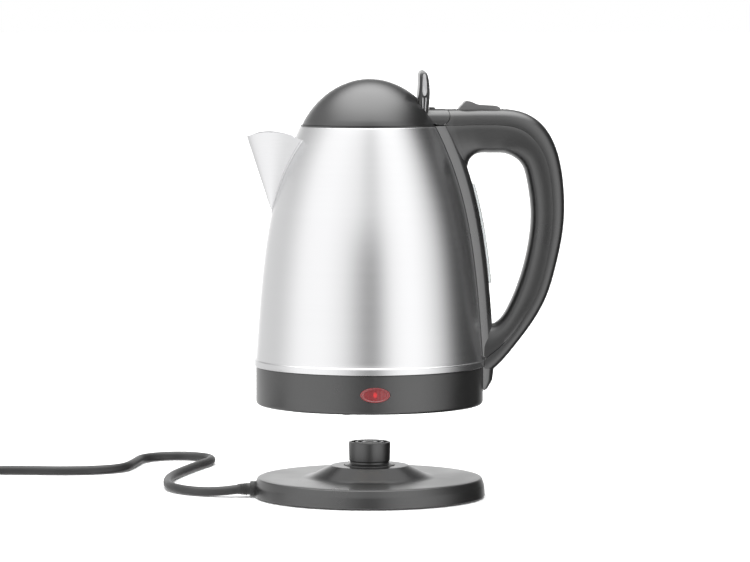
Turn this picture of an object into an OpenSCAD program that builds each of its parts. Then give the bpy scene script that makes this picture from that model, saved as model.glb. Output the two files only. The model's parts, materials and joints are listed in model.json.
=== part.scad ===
// Cordless electric kettle: a steel jug with a domed lid, a loop handle with a
// rocker switch, and a round power base with its mains lead.
// +Z is up, the handle points to +X, the spout to -X, the pilot lamp to -Y.
// The origin is on the table, under the centre of the power base.

/* [Power base] */
// Radius of the power base at its foot
base_r = 76.4; // [75:0.2:82]
// Height of the flat top of the power base
base_h = 13.2; // [12:0.2:16]
// Height of the connector post above the table
post_top = 36.6; // [36:0.1:37]
// Radius of the connector post
post_r = 13.85; // [13.5:0.05:14.2]

/* [Jug] */
// How far the jug is lifted off its base as drawn
lift = 47.5; // [0:0.5:90]
// Radius of the steel wall at its foot
body_r = 74.9; // [74.5:0.1:75.2]
// Radius of the steel wall at its neck
neck_r = 45.7; // [45.4:0.1:46]
// Thickness of the steel sheet
steel_t = 0.8; // [0.5:0.1:1]
// Radius of the plastic skirt
skirt_r = 75; // [74.8:0.1:76]
// Half width of the spout's opening angle, in degrees
spout_half_angle = 26; // [22:1:28]
// Lean of the spout's axis from the vertical, in degrees
spout_lean = 8; // [6:1:10]

/* [Lid] */
// Radius of the lid's rim
lid_r = 44.2; // [44:0.1:44.4]
// Rise of the dome above the rim
lid_rise = 29.4; // [24:0.2:32]

/* [Handle] */
// Half width of the handle at the top
grip_half_top = 15; // [14.6:0.2:16]
// Half width of the handle at its foot
grip_half_foot = 11; // [10:0.5:13]
// Wall of the handle's shells
grip_wall = 2.2; // [1.8:0.1:2.4]

/* [Lead] */
// Diameter of the mains lead
cord_d = 6.2; // [5.8:0.1:6.4]

/* [Hidden] */
$fn = 96;
EPS = 0.01;
JOIN = 0.4; // a feature sinks this far into the wall that carries it

// Levels of the jug, from the table up
cover_z = base_h + 1 + lift; // underside of the jug
skirt_top = cover_z + 25.3;
bead_top = skirt_top + 5.8;
floor_z = bead_top + 5.3; // top of the vessel floor
neck_z = 245.2;
rim_z = neck_z + 1.8; // underside of the lid's rim
lid_apex = rim_z + lid_rise;

// Lid hinge and switch pivots, as [x, z]
hinge_at = [46, 252.3];
hinge_round = 6;
rocker_at = [72, 251];
trip_at = [72, 241.5];
arm_half = 14.6; // half width of the lid's arm
arm_top = 256.8;
notch_floor = 249.4;
knuckle_half = 5.8;
duct_z = 238; // the steam's way from the jug's neck to the switch

// The jug's steel outline: radius of the wall's outside at height z
wall_drop = body_r - neck_r;
function rise(z) = (z - bead_top) / (neck_z - bead_top);
function body_out(z) = body_r - wall_drop * (0.36 * rise(z) + 0.64 * pow(rise(z), 3.4));
function wall_points(z0, z1, grow, n) =
    [for (i = [0:n]) let (z = z0 + (z1 - z0) * i / n) [body_out(z) + grow, z]];
function backwards(p) = [for (i = [len(p) - 1:-1:0]) p[i]];

// A layer that follows the steel wall from z0 to z1, from grow_in to grow_out off it
module wall_layer(z0, z1, grow_in, grow_out, n = 14) {
    rotate_extrude()
        polygon(concat(wall_points(z0, z1, grow_out, n),
                       backwards(wall_points(z0, z1, grow_in, n))));
}

// Everything inside the steel wall, grown by grow
module wall_solid(z0, z1, grow) {
    rotate_extrude()
        polygon(concat([[0, z0]], wall_points(z0, z1, grow, 14), [[0, z1]]));
}

module lathe(points) {
    rotate_extrude() polygon(points);
}

module tube(r_in, r_out, z0, z1) {
    translate([0, 0, z0])
        difference() {
            cylinder(r = r_out, h = z1 - z0);
            translate([0, 0, -1]) cylinder(r = r_in, h = z1 - z0 + 2);
        }
}

module rod(r, z0, z1) {
    translate([0, 0, z0]) cylinder(r = r, h = z1 - z0);
}

module box(lo, hi) {
    translate(lo) cube(hi - lo);
}

// A shaft along Y at [x, z], from -half to half
module cross_rod(at, r, half) {
    translate([at[0], half, at[1]]) rotate([90, 0, 0]) cylinder(r = r, h = 2 * half);
}

// A shaft along X from x0 to x1 at height z
module long_rod(x0, x1, z, r) {
    translate([x0, 0, z]) rotate([0, 90, 0]) cylinder(r = r, h = x1 - x0);
}

// An outline drawn in X and Z, made 2 * half thick along Y
module side_plate(points, half) {
    translate([0, half, 0]) rotate([90, 0, 0]) linear_extrude(2 * half) polygon(points);
}

// An outline drawn in Y and Z, extruded along X from x0 to x1
module front_plate(points, x0, x1) {
    translate([x0, 0, 0]) rotate([90, 0, 90]) linear_extrude(x1 - x0) polygon(points);
}

module around(count, first = 0) {
    for (i = [0:count - 1]) rotate(first + i * 360 / count) children();
}

// Smooth curve through hand-set points
function blend(a, b, c, d, t) =
    0.5 * (2 * b + (c - a) * t + (2 * a - 5 * b + 4 * c - d) * t * t
           + (3 * b - a - 3 * c + d) * t * t * t);
function spline(p, n) =
    let (last = len(p) - 1)
    concat([for (i = [0:last - 1]) for (k = [0:n - 1])
                blend(p[max(i - 1, 0)], p[i], p[i + 1], p[min(i + 2, last)], k / n)],
           [p[last]]);
function closed_spline(p, n) =
    let (m = len(p))
    [for (i = [0:m - 1]) for (k = [0:n - 1])
        blend(p[(i + m - 1) % m], p[i], p[(i + 1) % m], p[(i + 2) % m], k / n)];
function ellipse_points(rx, rz, z0, n = 40) =
    [for (i = [0:n - 1]) [rx * cos(360 * i / n), z0 + rz * sin(360 * i / n)]];

// A closed body through a list of sections with the same number of points
module loft(sections, channel = false) {
    n = len(sections[0]);
    last = len(sections) - 1;
    points = [for (s = sections) for (p = s) p];
    sides = [for (i = [0:last - 1]) for (k = [0:n - 1]) each
        let (a = i * n + k, b = i * n + (k + 1) % n) [[a, b, b + n], [a, b + n, a + n]]];
    // a channel's end is a strip between its two walls, so it is closed in pairs
    strip = [for (k = [0:n / 2 - 2]) each
        [[k, n - 1 - k, n - 2 - k], [k, n - 2 - k, k + 1]]];
    first_cap = channel ? strip : [[for (k = [n - 1:-1:0]) k]];
    last_cap = [for (f = first_cap) [for (k = backwards(f)) last * n + k]];
    polyhedron(points = points, faces = concat(sides, first_cap, last_cap));
}

// ---------------------------------------------------------------- steel jug

module vessel_shell() {
    bead_r = body_r + 1.1;
    color("silver")
        difference() {
            union() {
                wall_layer(bead_top, neck_z, -steel_t, 0, 24);
                lathe([[body_r - steel_t, skirt_top + 0.2], [bead_r - 0.6, skirt_top + 0.2],
                       [bead_r, skirt_top + 1], [bead_r, bead_top - 1.2],
                       [body_r, bead_top + EPS], [body_r - steel_t, bead_top + EPS]]);
            }
            spout_cone(1.4, 236);
            for (z = [150, 202]) long_rod(0, 100, z, 2.6);
            long_rod(0, 60, duct_z, 2.4);
        }
}

module vessel_floor() {
    floor_r = body_r - steel_t - 0.6;
    color("gainsboro")
        lathe([[0, floor_z - 0.8], [floor_r - 0.7, floor_z - 0.8],
               [floor_r - 0.7, skirt_top + 2.4], [floor_r, skirt_top + 2.4],
               [floor_r, floor_z], [0, floor_z]]);
}

module heat_diffuser() {
    color("lightgray") rod(62, floor_z - 3.8, floor_z - 0.8);
}

module heater_element() {
    sheath_r = 3.3;
    ring_r = 48;
    ring_z = floor_z - 3.8 - sheath_r;
    color("dimgray") {
        translate([0, 0, ring_z])
            rotate(30)
                rotate_extrude(angle = 300)
                    translate([ring_r, 0]) circle(r = sheath_r);
        for (turn = [31.5, 328.5])
            rotate(turn) translate([ring_r, 0, 0]) rod(2, ring_z - 9, ring_z);
    }
}

// The spout is a right circular cone that stands on its point and leans inwards
module spout_cone(inset, top) {
    apex_z = 188.5;
    length = 64;
    tip_r = 0.4;
    shift = (inset / sin(spout_half_angle)) + tip_r / tan(spout_half_angle);
    difference() {
        translate([-64.5, 0, apex_z])
            rotate([0, spout_lean, 0])
                translate([0, 0, shift])
                    cylinder(r1 = tip_r, r2 = tip_r + length * tan(spout_half_angle), h = length);
        box([-120, -60, top], [60, 60, top + 60]);
    }
}

module spout() {
    wall = 1;
    lip = [[-95, 232], [-82, 238.2], [-74, 240.9], [-66, 241.7], [-58, 240.8],
           [-49, 238.2], [-40, 234.6], [-20, 234.6], [-20, 262], [-95, 262]];
    color("silver")
        difference() {
            spout_cone(0, 250);
            spout_cone(wall, 251);
            side_plate(lip, 60);
            wall_solid(150, neck_z, 0.04);
            rod(neck_r + 0.4, neck_z - 0.5, 262);
        }
}

module spout_filter() {
    color("whitesmoke")
        difference() {
            intersection() {
                wall_layer(190, 237, -3.4, -1.2, 8);
                front_plate([[-6, 191], [6, 191], [22, 230], [22, 236.5], [-22, 236.5],
                             [-22, 230]], -70, -20);
            }
            front_plate([[-3, 197], [3, 197], [17, 229], [17, 233], [-17, 233], [-17, 229]],
                        -80, -20);
        }
}

module filter_mesh() {
    color("lightgray")
        intersection() {
            wall_layer(192, 236, -2.5, -2.1, 8);
            front_plate([[-2.9, 197.1], [2.9, 197.1], [16.9, 229], [16.9, 232.9],
                         [-16.9, 232.9], [-16.9, 229]], -80, -20);
        }
}

module neck_collar() {
    collar_r = lid_r - 1.1;
    color("dimgray")
        difference() {
            union() {
                lathe([[collar_r, 238], [44.6, 238], [44.6, neck_z],
                       [neck_r - 0.4, neck_z], [neck_r - 0.4, neck_z + 0.9],
                       [collar_r, neck_z + 0.9]]);
                box([lid_r + 0.3, -knuckle_half, neck_z + 0.5],
                    [48.5, knuckle_half, hinge_at[1]]);
                cross_rod(hinge_at, 3.9, knuckle_half);
            }
            cross_rod(hinge_at, 1.5, 20);
        }
}

module hinge_pin() {
    color("gray") cross_rod(hinge_at, 1.5, arm_half - 1.2);
}

// ---------------------------------------------------------------- lid

function dome_z(r, r0) = lid_apex - lid_rise * (0.8 * pow(r / r0, 2) + 0.2 * pow(r / r0, 6));
function dome_points(r0, drop, n) =
    [for (i = [0:n]) let (r = r0 * i / n) [r, dome_z(r, r0) - drop]];

// Room for the fixed knuckle while the lid swings
module knuckle_room() {
    box([42.7, -knuckle_half - 0.8, rim_z - 1], [60, knuckle_half + 0.8, notch_floor + 1]);
}

module lid_dome() {
    plug_r = 42;
    wall = 2.2;
    inner = [for (i = [0:14]) let (r = (lid_r - wall) * i / 14) [r, dome_z(r, lid_r) - wall - 0.4]];
    color([0.2, 0.2, 0.21])
        union() {
            difference() {
                lathe(concat([[lid_r, rim_z]], backwards(dome_points(lid_r, 0, 18)),
                             [[0, inner[0][1]]], [for (i = [1:12]) inner[i]],
                             [[plug_r - 1.6, rim_z + 2], [plug_r - 1.6, 240], [plug_r, 240],
                              [plug_r, rim_z]]));
                box([30.9, -arm_half - 0.7, notch_floor], [60, arm_half + 0.7, 290]);
                knuckle_room();
            }
            intersection() {
                difference() {
                    box([28, -arm_half - 2.4, rim_z], [60, arm_half + 2.4, notch_floor]);
                    knuckle_room();
                }
                rod(lid_r - 0.2, rim_z, notch_floor);
            }
            intersection() {
                difference() {
                    box([28.9, -arm_half - 2.4, rim_z], [60, arm_half + 2.4, 290]);
                    box([30.9, -arm_half - 0.7, rim_z - 1], [61, arm_half + 0.7, 291]);
                }
                lathe(concat([[0, rim_z], [lid_r - 0.1, rim_z]],
                             backwards(dome_points(lid_r, 0.1, 18))));
            }
            around(3, 60)
                translate([30, 0, 0]) rod(3.4, 241.6, dome_z(33.4, lid_r) - wall);
        }
}

module lid_plate() {
    color("silver")
        difference() {
            rod(40.2, 240.4, 241.6);
            around(3, 60) translate([30, 0, 0]) rod(1.7, 240, 242);
        }
}

module lid_gasket() {
    color("lightgray") tube(42.1, 44, neck_z + 0.9, rim_z);
}

module lid_screws() {
    color("darkgray")
        around(3, 60)
            translate([30, 0, 0]) {
                rod(1.5, 239.6, 241.59);
                rod(3, 238.9, 240.4);
            }
}

module lid_arm() {
    color([0.2, 0.2, 0.21])
        difference() {
            union() {
                intersection() {
                    cross_rod(hinge_at, hinge_round, arm_half);
                    box([30, -20, rim_z - 0.7], [60, 20, arm_top]);
                }
                box([39.3, -arm_half, notch_floor], [hinge_at[0], arm_half, arm_top]);
                box([44.7, -arm_half, rim_z - 0.7], [hinge_at[0], arm_half, arm_top]);
                box([31.2, -arm_half, notch_floor], [40, arm_half, notch_floor + 1]);
                box([39.3, -arm_half, arm_top - JOIN], [43.2, arm_half, arm_top + 0.9]);
            }
            box([41, -knuckle_half - 0.5, rim_z - 2], [60, knuckle_half + 0.5, arm_top + 2]);
            rod(lid_r + 0.3, rim_z - 2, notch_floor);
            cross_rod(hinge_at, 1.56, 20);
        }
}

module lid_tab() {
    side = closed_spline([[34.6, 282.4], [37.4, 279.8], [38.9, 271], [38.5, 262], [36.8, 250.5],
                          [32.6, 250.5], [31.4, 262], [32.2, 272], [32.4, 280]], 4);
    pocket = closed_spline([[34.8, 280.4], [36.6, 278], [37.5, 270], [37, 262], [35.6, 252.6],
                            [33.4, 252.6], [32.9, 262], [33.5, 271]], 3);
    face = concat([[-13, 250.4], [13, 250.4]],
                  [for (a = [0:10:180]) [8.5 + 4.5 * cos(min(a, 90)) - (a > 90 ? 17 : 0)
                                         + (a > 90 ? 4.5 * cos(a) : 0),
                                         277.9 + 4.5 * sin(a)]]);
    color([0.22, 0.22, 0.23])
        difference() {
            intersection() {
                side_plate(side, 20);
                front_plate(face, 20, 50);
                box([20, -20, notch_floor + 1], [50, 20, 290]);
            }
            for (s = [-1, 1]) translate([0, s * 13, 0]) side_plate(pocket, 1.2);
        }
}

// ---------------------------------------------------------------- handle

foot_x = 82.8; // the handle's foot ends in this upright plane
handle_screw_z = 110.2;
handle_screw_y = 5.5;

// Outer edge, seam line and finger-side edge of the handle, as [x, z]
outer_pts = [[54.4, 256.6], [68, 256.8], [82, 256.7], [93, 256.1], [104, 253.2], [114.5, 245.6],
             [122, 233.5], [126.6, 217], [128.6, 196], [127.8, 177], [123.8, 156], [116.2, 131],
             [107.2, 115], [96.4, 100.6], [foot_x, 85.4]];
seam_pts = [[54.4, 246], [68, 246.2], [81, 246.2], [90.5, 245.6], [100.2, 242.6], [108.6, 235.6],
            [114.6, 225.6], [118.3, 211.5], [120, 193.5], [119.3, 175.6], [115.8, 155.4],
            [109.4, 134], [101.2, 119.6], [91.4, 105.6], [foot_x, 97.5]];
inner_pts = [[61, 227.6], [70, 227.4], [80, 227.5], [88, 227.3], [95, 224.8], [100.6, 219.6],
             [103.6, 210.8], [105.6, 199.4], [106.5, 186], [105.4, 171.6], [101.8, 153.6],
             [96.8, 138], [91.6, 126.2], [87.2, 119], [foot_x, 114.8]];
grip_steps = 2;

// One U-shaped section: u runs from the closed side towards the seam, v along Y
function u_section(deep, half, wall, round) =
    let (arc = [for (a = [0:22.5:90]) a], tight = round - wall)
    concat([[deep, -half]],
           [for (a = arc) [round - round * sin(a), -half + round - round * cos(a)]],
           [for (a = backwards(arc)) [round - round * sin(a), half - round + round * cos(a)]],
           [[deep, half], [deep, half - wall]],
           [for (a = arc) [round - tight * sin(a), half - round + tight * cos(a)]],
           [for (a = backwards(arc)) [round - tight * sin(a), -half + round - tight * cos(a)]],
           [[deep, -half + wall]]);

// A channel swept along the handle, closed along closed_pts and open at seam_pts
module grip_channel(closed_pts, open_pts, round, flip) {
    outer = spline(closed_pts, grip_steps);
    seam = spline(open_pts, grip_steps);
    last = len(outer) - 1;
    sections = [for (i = [0:last])
        let (to = seam[i] - outer[i], deep = norm(to), d = to / deep,
             half = grip_half_top + (grip_half_foot - grip_half_top) * i / last)
        [for (q = u_section(deep, half, grip_wall, round))
            [outer[i][0] + d[0] * q[0], q[1], outer[i][1] + d[1] * q[0]]]];
    loft(flip ? backwards(sections) : sections, channel = true);
}

module handle_outer() {
    color([0.24, 0.24, 0.25])
        difference() {
            grip_channel(outer_pts, seam_pts, 7.4, false);
            box([56.8, -8.2, 252], [87.4, 8.2, 262]);
        }
}

module handle_screw_holes(r) {
    for (s = [-1, 1])
        translate([0, s * handle_screw_y, 0]) long_rod(foot_x - 9, foot_x + 6, handle_screw_z, r);
}

module handle_inner() {
    color([0.22, 0.22, 0.23])
        difference() {
            union() {
                grip_channel(inner_pts, seam_pts, 7, true);
                box([foot_x, -8.9, 106], [foot_x + 2, 8.9, 113.8]);
            }
            handle_screw_holes(1.7);
        }
}

// The tapering strap behind the jug that carries the handle's foot and the gauge
module back_housing() {
    proud = 7.6;
    housing_top = neck_z + 0.4;
    strap = [[-9, 70.6], [9, 70.6], [10.5, 74], [12, 130], [15.5, 200], [17, 226], [17, housing_top],
             [-17, housing_top], [-17, 226], [-15.5, 200], [-12, 130], [-10.5, 74]];
    outline = concat([[skirt_r + 0.25, 70.6], [skirt_r + 6.2, 77.4], [skirt_r + 7.4, skirt_top]],
                     wall_points(94, housing_top, proud, 14),
                     backwards(wall_points(bead_top + 1.2, housing_top, 0.25, 14)),
                     [[body_r + 1.4, bead_top + 1], [body_r + 1.4, skirt_top - 0.1],
                      [skirt_r + 0.25, skirt_top - 0.2]]);
    color([0.2, 0.2, 0.21])
        difference() {
            union() {
                intersection() {
                    lathe(outline);
                    front_plate(strap, 20, 100);
                }
                difference() {
                    box([50, -arm_half, 245], [54.1, arm_half, arm_top - 0.4]);
                    cross_rod(hinge_at, hinge_round + 0.35, 40);
                    rod(neck_r + 1, 240, 262);
                }
                difference() {
                    box([59, -12, 219], [66, 12, 227.2]);
                    wall_solid(200, 240, 4);
                    cross_rod([74.2, 219.2], 8.2, 40);
                }
                box([skirt_r + 3, -10.6, 86.2], [foot_x, 10.6, 114.4]);
            }
            intersection() {
                wall_layer(141.4, 207.6, 4.4, 12, 6);
                box([40, -5.4, 141.4], [100, 5.4, 207.6]);
            }
            for (z = [150, 202]) long_rod(40, 84, z, 3.2);
            box([70, -3, 77.6], [80.4, 3, 104]);
            long_rod(79, 90, 100.6, 3);
            handle_screw_holes(1.45);
            long_rod(40, 60, duct_z, 2.4);
            long_rod(55.4, 60, duct_z, 3.65);
        }
}

module gauge_window() {
    color([0.85, 0.88, 0.9, 0.5])
        intersection() {
            wall_layer(141.6, 207.4, 7, 9.2, 6);
            box([40, -5.1, 141.6], [100, 5.1, 207.4]);
        }
}

module gauge_seals() {
    color("black")
        for (z = [150, 202])
            intersection() {
                difference() {
                    long_rod(50, 90, z, 3.1);
                    long_rod(49, 91, z, 1.6);
                }
                wall_layer(z - 6, z + 6, 0.3, 4.3, 4);
            }
}

module steam_duct() {
    color("lightgray")
        difference() {
            long_rod(55.5, 61, duct_z, 3.6);
            long_rod(55, 62, duct_z, 2.4);
        }
}

module steam_switch() {
    half = 10;
    color("ivory")
        difference() {
            union() {
                box([61, -half, 231.4], [84, half, 244]);
                for (s = [-1, 1])
                    box([68, s * 9 - 1, 243.6], [76, s * 9 + 1, 253.2]);
            }
            box([66.5, -4, 233], [77.5, 4, 245]);
            long_rod(60, 63.4, duct_z, 5);
            long_rod(60, 67, duct_z, 2.4);
            cross_rod(rocker_at, 1.5, 20);
            cross_rod(trip_at, 1, 6.5);
        }
}

module bimetal_disc() {
    color("goldenrod") long_rod(62.6, 63, duct_z, 4.8);
}

module rocker_pin() {
    color("gray") cross_rod(rocker_at, 1.5, 10);
}

module trip_pin() {
    color("gray") cross_rod(trip_at, 1, 6.4);
}

module switch_rocker() {
    half = 7.5;
    cap = [[58.3, 256.6], [59.4, 258], [63.2, 261.5], [66.2, 261.3], [70.5, 259.7], [76, 259],
           [83.2, 258.6], [84.8, 258.2], [85.8, 257], [85.4, 253.4], [79, 252.2], [65, 252.2],
           [59, 253.4]];
    color([0.25, 0.25, 0.26])
        difference() {
            union() {
                side_plate(cap, half);
                cross_rod(rocker_at, 3.2, half);
                box([rocker_at[0] - 1.3, -3, 246.4], [rocker_at[0] + 1.3, 3, rocker_at[1]]);
            }
            cross_rod(rocker_at, 1.56, 20);
        }
}

module trip_lever() {
    color("white")
        difference() {
            union() {
                cross_rod(trip_at, 2.4, 3.4);
                for (s = [-1, 1])
                    box([trip_at[0] + s * 2.6 - 0.7, -3.4, trip_at[1]],
                        [trip_at[0] + s * 2.6 + 0.7, 3.4, 247.4]);
            }
            cross_rod(trip_at, 1.06, 20);
        }
}

// The two wires to the switch run down the handle as one sleeved loom
loom_pts = [[86, 0, 238], [94, 0, 236], [104, 0, 228], [110.5, 0, 212], [113, 0, 190],
            [110.4, 0, 164], [103.6, 0, 138], [96, 0, 119], [88.4, 0, 106.4], [82, 0, 100.6],
            [78.4, 0, 97.4], [78.2, 0, 88], [77.8, 0, 83], [74, 0, 80], [66, 0, 79.6],
            [52, 0, 82], [35, 0, 84]];

// Sections of a round tube along points in space
function tube_sections(p, r, n) =
    let (last = len(p) - 1)
    [for (i = [0:last])
        let (t = p[min(i + 1, last)] - p[max(i - 1, 0)], dir = t / norm(t),
             side = cross(dir, [0, 0, 1]),
             a = norm(side) > 0.05 ? side / norm(side) : [0, 1, 0], b = cross(a, dir))
        [for (k = [0:n - 1]) p[i] + r * (cos(360 * k / n) * a + sin(360 * k / n) * b)]];

// Sections of a tube whose centre line stays in the plane Y = 0
function upright_sections(p, r, n) =
    let (last = len(p) - 1)
    [for (i = [0:last])
        let (t = p[min(i + 1, last)] - p[max(i - 1, 0)], dir = t / norm(t),
             b = cross(dir, [0, 1, 0]))
        [for (k = [0:n - 1]) p[i] + r * (cos(360 * k / n) * b + sin(360 * k / n) * [0, 1, 0])]];

module wire_loom() {
    color("firebrick") loft(upright_sections(spline(loom_pts, 2), 1.7, 8));
}

// ---------------------------------------------------------------- jug's foot

screw_ring = 58;

module base_skirt() {
    wall = 2.5;
    fillet = 5;
    round_in = [for (a = [0:15:90])
        [skirt_r - fillet + fillet * sin(a), cover_z + fillet - fillet * cos(a)]];
    color([0.24, 0.24, 0.25])
        difference() {
            union() {
                lathe(concat(round_in, [[skirt_r, skirt_top], [skirt_r - wall, skirt_top],
                                        [skirt_r - wall, cover_z + fillet],
                                        [skirt_r - fillet - 0.4, cover_z + 3]]));
                around(3, 30)
                    difference() {
                        union() {
                            translate([screw_ring, 0, 0]) rod(4, cover_z + 2.6, cover_z + 16);
                            box([screw_ring, -1, cover_z + 3], [skirt_r - 1, 1, cover_z + 16]);
                        }
                        translate([screw_ring, 0, 0]) rod(1.7, cover_z, cover_z + 14);
                    }
            }
            rotate(90) front_plate(ellipse_points(9.9, 5.1, 74.6), -90, -60);
            long_rod(60, 90, 80, 3);
        }
}

module underside_cover() {
    color([0.16, 0.16, 0.17])
        difference() {
            lathe([[41.5, cover_z + 0.2], [69.4, cover_z + 0.2], [69.4, cover_z + 2.6],
                   [43, cover_z + 2.6], [29.4, cover_z + 11.7], [17.4, cover_z + 11.7],
                   [17.4, cover_z + 9.5], [28.2, cover_z + 9.5]]);
            around(3, 30) translate([screw_ring, 0, 0]) rod(2, cover_z - 1, cover_z + 5);
            around(3, 30) translate([screw_ring, 0, 0]) rod(3.7, cover_z - 1, cover_z + 1.2);
        }
}

module kettle_feet() {
    color("gray")
        around(3, 254) translate([64, 0, 0]) rod(3, cover_z - 0.8, cover_z + 0.2);
}

module body_screws() {
    color("darkgray")
        around(3, 30)
            translate([screw_ring, 0, 0]) {
                rod(1.6, cover_z + 1.2, cover_z + 12);
                rod(3.4, cover_z + 0.3, cover_z + 1.2);
            }
}

module indicator_lens() {
    color([0.75, 0.1, 0.12])
        intersection() {
            tube(skirt_r - 2.2, skirt_r + 0.5, 60, 90);
            rotate(90) front_plate(ellipse_points(9.7, 4.9, 74.6), -90, -60);
        }
}

module indicator_lamp() {
    color("orangered")
        translate([0, -62, 74.6]) rotate([90, 0, 0]) cylinder(r = 2.6, h = 10);
}

module control_block() {
    bore_r = post_r + 0.95;
    roof = cover_z + 23.2;
    color("ivory")
        lathe([[0, roof], [bore_r, roof], [bore_r, cover_z + 7.7], [17.2, cover_z + 7.7],
               [17.2, cover_z + 12.9], [33, cover_z + 12.9], [33, cover_z + 27.8],
               [0, cover_z + 27.8]]);
}

module ring_contacts() {
    top = cover_z + 23.2;
    color("goldenrod") {
        tube(6.3, 6.9, top - 9.5, top);
        tube(10.4, 11, top - 9.5, top);
    }
}

module socket_pin() {
    top = cover_z + 23.2;
    color("goldenrod") {
        rod(2, top - 11.5, top);
        rod(1.4, top - 12.3, top - 11.5);
    }
}

module thermal_discs() {
    color("goldenrod")
        for (x = [-17, 17]) translate([x, 0, 0]) rod(9, cover_z + 27.8, cover_z + 28.6);
}

module handle_screws() {
    head = foot_x + 2;
    color("darkgray")
        for (s = [-1, 1])
            translate([0, s * handle_screw_y, 0]) {
                long_rod(head - 8, head, handle_screw_z, 1.4);
                long_rod(head, head + 1.5, handle_screw_z, 2.7);
            }
}

// ---------------------------------------------------------------- connector

module post_body() {
    foot = 10.4;
    slot_z = post_top - 12.5;
    color([0.18, 0.18, 0.19])
        lathe([[2.7, post_top - 0.4], [3.2, post_top], [5.1, post_top], [5.3, post_top - 0.4],
               [5.3, slot_z], [7.7, slot_z], [7.7, post_top], [9.4, post_top], [9.4, slot_z],
               [12, slot_z], [12, post_top], [post_r - 0.9, post_top], [post_r, post_top - 0.9],
               [post_r - 0.5, 24], [post_r - 0.3, 22], [16.4, 21.3], [16.4, 17.6],
               [post_r - 0.4, 16.8], [post_r - 0.4, foot], [2.7, foot]]);
}

module post_contacts() {
    slot_z = post_top - 12.5;
    color("goldenrod") {
        tube(2.3, 2.69, post_top - 11, post_top - 1.4);
        tube(5.31, 5.7, slot_z, post_top - 1.4);
        tube(9.41, 9.8, slot_z, post_top - 1.4);
    }
}

// ---------------------------------------------------------------- power base

base_screw_ring = 52;

module base_cover() {
    wall = 2;
    hole_r = 16.8;
    color([0.24, 0.24, 0.25])
        difference() {
            union() {
                lathe([[base_r, 1.2], [base_r, 4], [base_r - 0.3, 8], [base_r - 1.4, 11.4],
                       [base_r - 2.6, 12.7], [base_r - 4.4, base_h], [39, base_h], [25.2, 20.6],
                       [23.6, 21], [hole_r, 21], [hole_r, 19], [24.4, 18.8],
                       [38, base_h - wall], [base_r - 5, base_h - wall],
                       [base_r - 3.2, 9.6], [base_r - 2.4, 4], [base_r - 2.4, 1.2]]);
                around(3, 90)
                    translate([base_screw_ring, 0, 0])
                        difference() {
                            rod(3.6, 3, base_h - wall + JOIN);
                            rod(1.5, 2, base_h - wall - 0.6);
                        }
            }
            long_rod(-base_r - 1, -base_r + 6, exit_z, 4.4);
        }
}

module base_plate() {
    color([0.14, 0.14, 0.15])
        difference() {
            union() {
                rod(base_r - 2.6, 1, 3);
                rod(20, 0, 3);
            }
            around(3, 90) translate([base_screw_ring, 0, 0]) {
                rod(1.7, -1, 4);
                rod(3.3, -1, 2);
            }
            around(4, 45) translate([64, 0, 0]) rod(5.5, -1, 1.8);
            box([-base_r - 4, -6.2, 0.5], [-58, 6.2, 4]);
        }
}

module rubber_feet() {
    color("black") around(4, 45) translate([64, 0, 0]) rod(5.3, 0, 1.8);
}

module base_screws() {
    color("darkgray")
        around(3, 90)
            translate([base_screw_ring, 0, 0]) {
                rod(1.4, 2, base_h - 5);
                rod(3.1, 0.6, 2);
            }
}

module terminal_block() {
    color("ivory")
        union() {
            rod(12, 3, 8.6);
            box([-20, -7, 3], [0, 7, 8.6]);
        }
}

module base_wires() {
    color("saddlebrown")
        for (y = [-3, 0, 3])
            translate([0, y, 0]) long_rod(-57, -20, 6, 1);
}

module cord_clamp() {
    color("ivory")
        difference() {
            box([-68, -9, 3], [-63, 9, 10]);
            long_rod(-70, -60, 5.4, 3.4);
        }
}

// ---------------------------------------------------------------- mains lead

exit_z = 5.4; // height of the lead's centre where it leaves the base
relief_end = -86;
coil_at = [-300, 98];
coil_r = 34;
plug_at = [-334, 62, 4.1];
plug_tilt = 18.5;

// Centre line of the lead from the strain relief to the coil
cord_pts = [[relief_end, 0, exit_z], [-93, 0.2, 4.5], [-101.5, 1.8, 3.7], [-111, 5.8, 3.2],
            [-120, 12.6, 3.2], [-127.6, 23, 3.2], [-132.2, 37, 3.2], [-133.6, 54.2, 3.2],
            [-133, 76, 3.2], [-128.6, 102.6, 3.2], [-120.4, 131.1, 3.2], [-112, 156.9, 3.2],
            [-105.2, 176, 3.2], [-103.5, 190.9, 3.2], [-108.1, 203.6, 3.2], [-119.3, 212.3, 3.2],
            [-131.5, 213.6, 3.2], [-145, 207.1, 3.2], [-152.5, 196.5, 3.2], [-155.7, 183.1, 3.2],
            [-159.7, 162, 3.2], [-167.1, 141.8, 3.2], [-182, 131.2, 3.2], [-198, 127.8, 3.2],
            [-218, 129, 3.2], [-243, 132.6, 3.2], [-270, 132.4, 3.2], [-300, 132, 3.2]];

// Centre line of the lead from the coil's end to the plug
tail_pts = [[-334, 98, 9.4], [-334, 90, 8.6], [-334, 80, 6.4], [-334, 71, 4.6],
            [-334, 62, 4.1]];

module strain_relief() {
    color([0.18, 0.18, 0.19])
        translate([-base_r, 0, exit_z])
            rotate([0, 90, 0])
                rotate_extrude()
                    polygon([[0, relief_end + base_r], [3.4, relief_end + base_r],
                             [4.3, -4.4], [5.2, -4], [5.2, -0.1], [4.2, -0.1], [4.2, 2.6],
                             [3.6, 4.6], [4.7, 4.6], [4.7, 5.6], [3.2, 6.4], [3.2, 14.4],
                             [0, 14.4]]);
}

module cord_run() {
    color([0.15, 0.15, 0.16]) loft(tube_sections(spline(cord_pts, 2), cord_d / 2, 10));
}

module cord_coil() {
    color([0.15, 0.15, 0.16])
        translate([coil_at[0], coil_at[1], 0])
            tube(coil_r - cord_d / 2, coil_r + cord_d / 2, 0.1, 2 * cord_d + 0.1);
}

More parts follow.
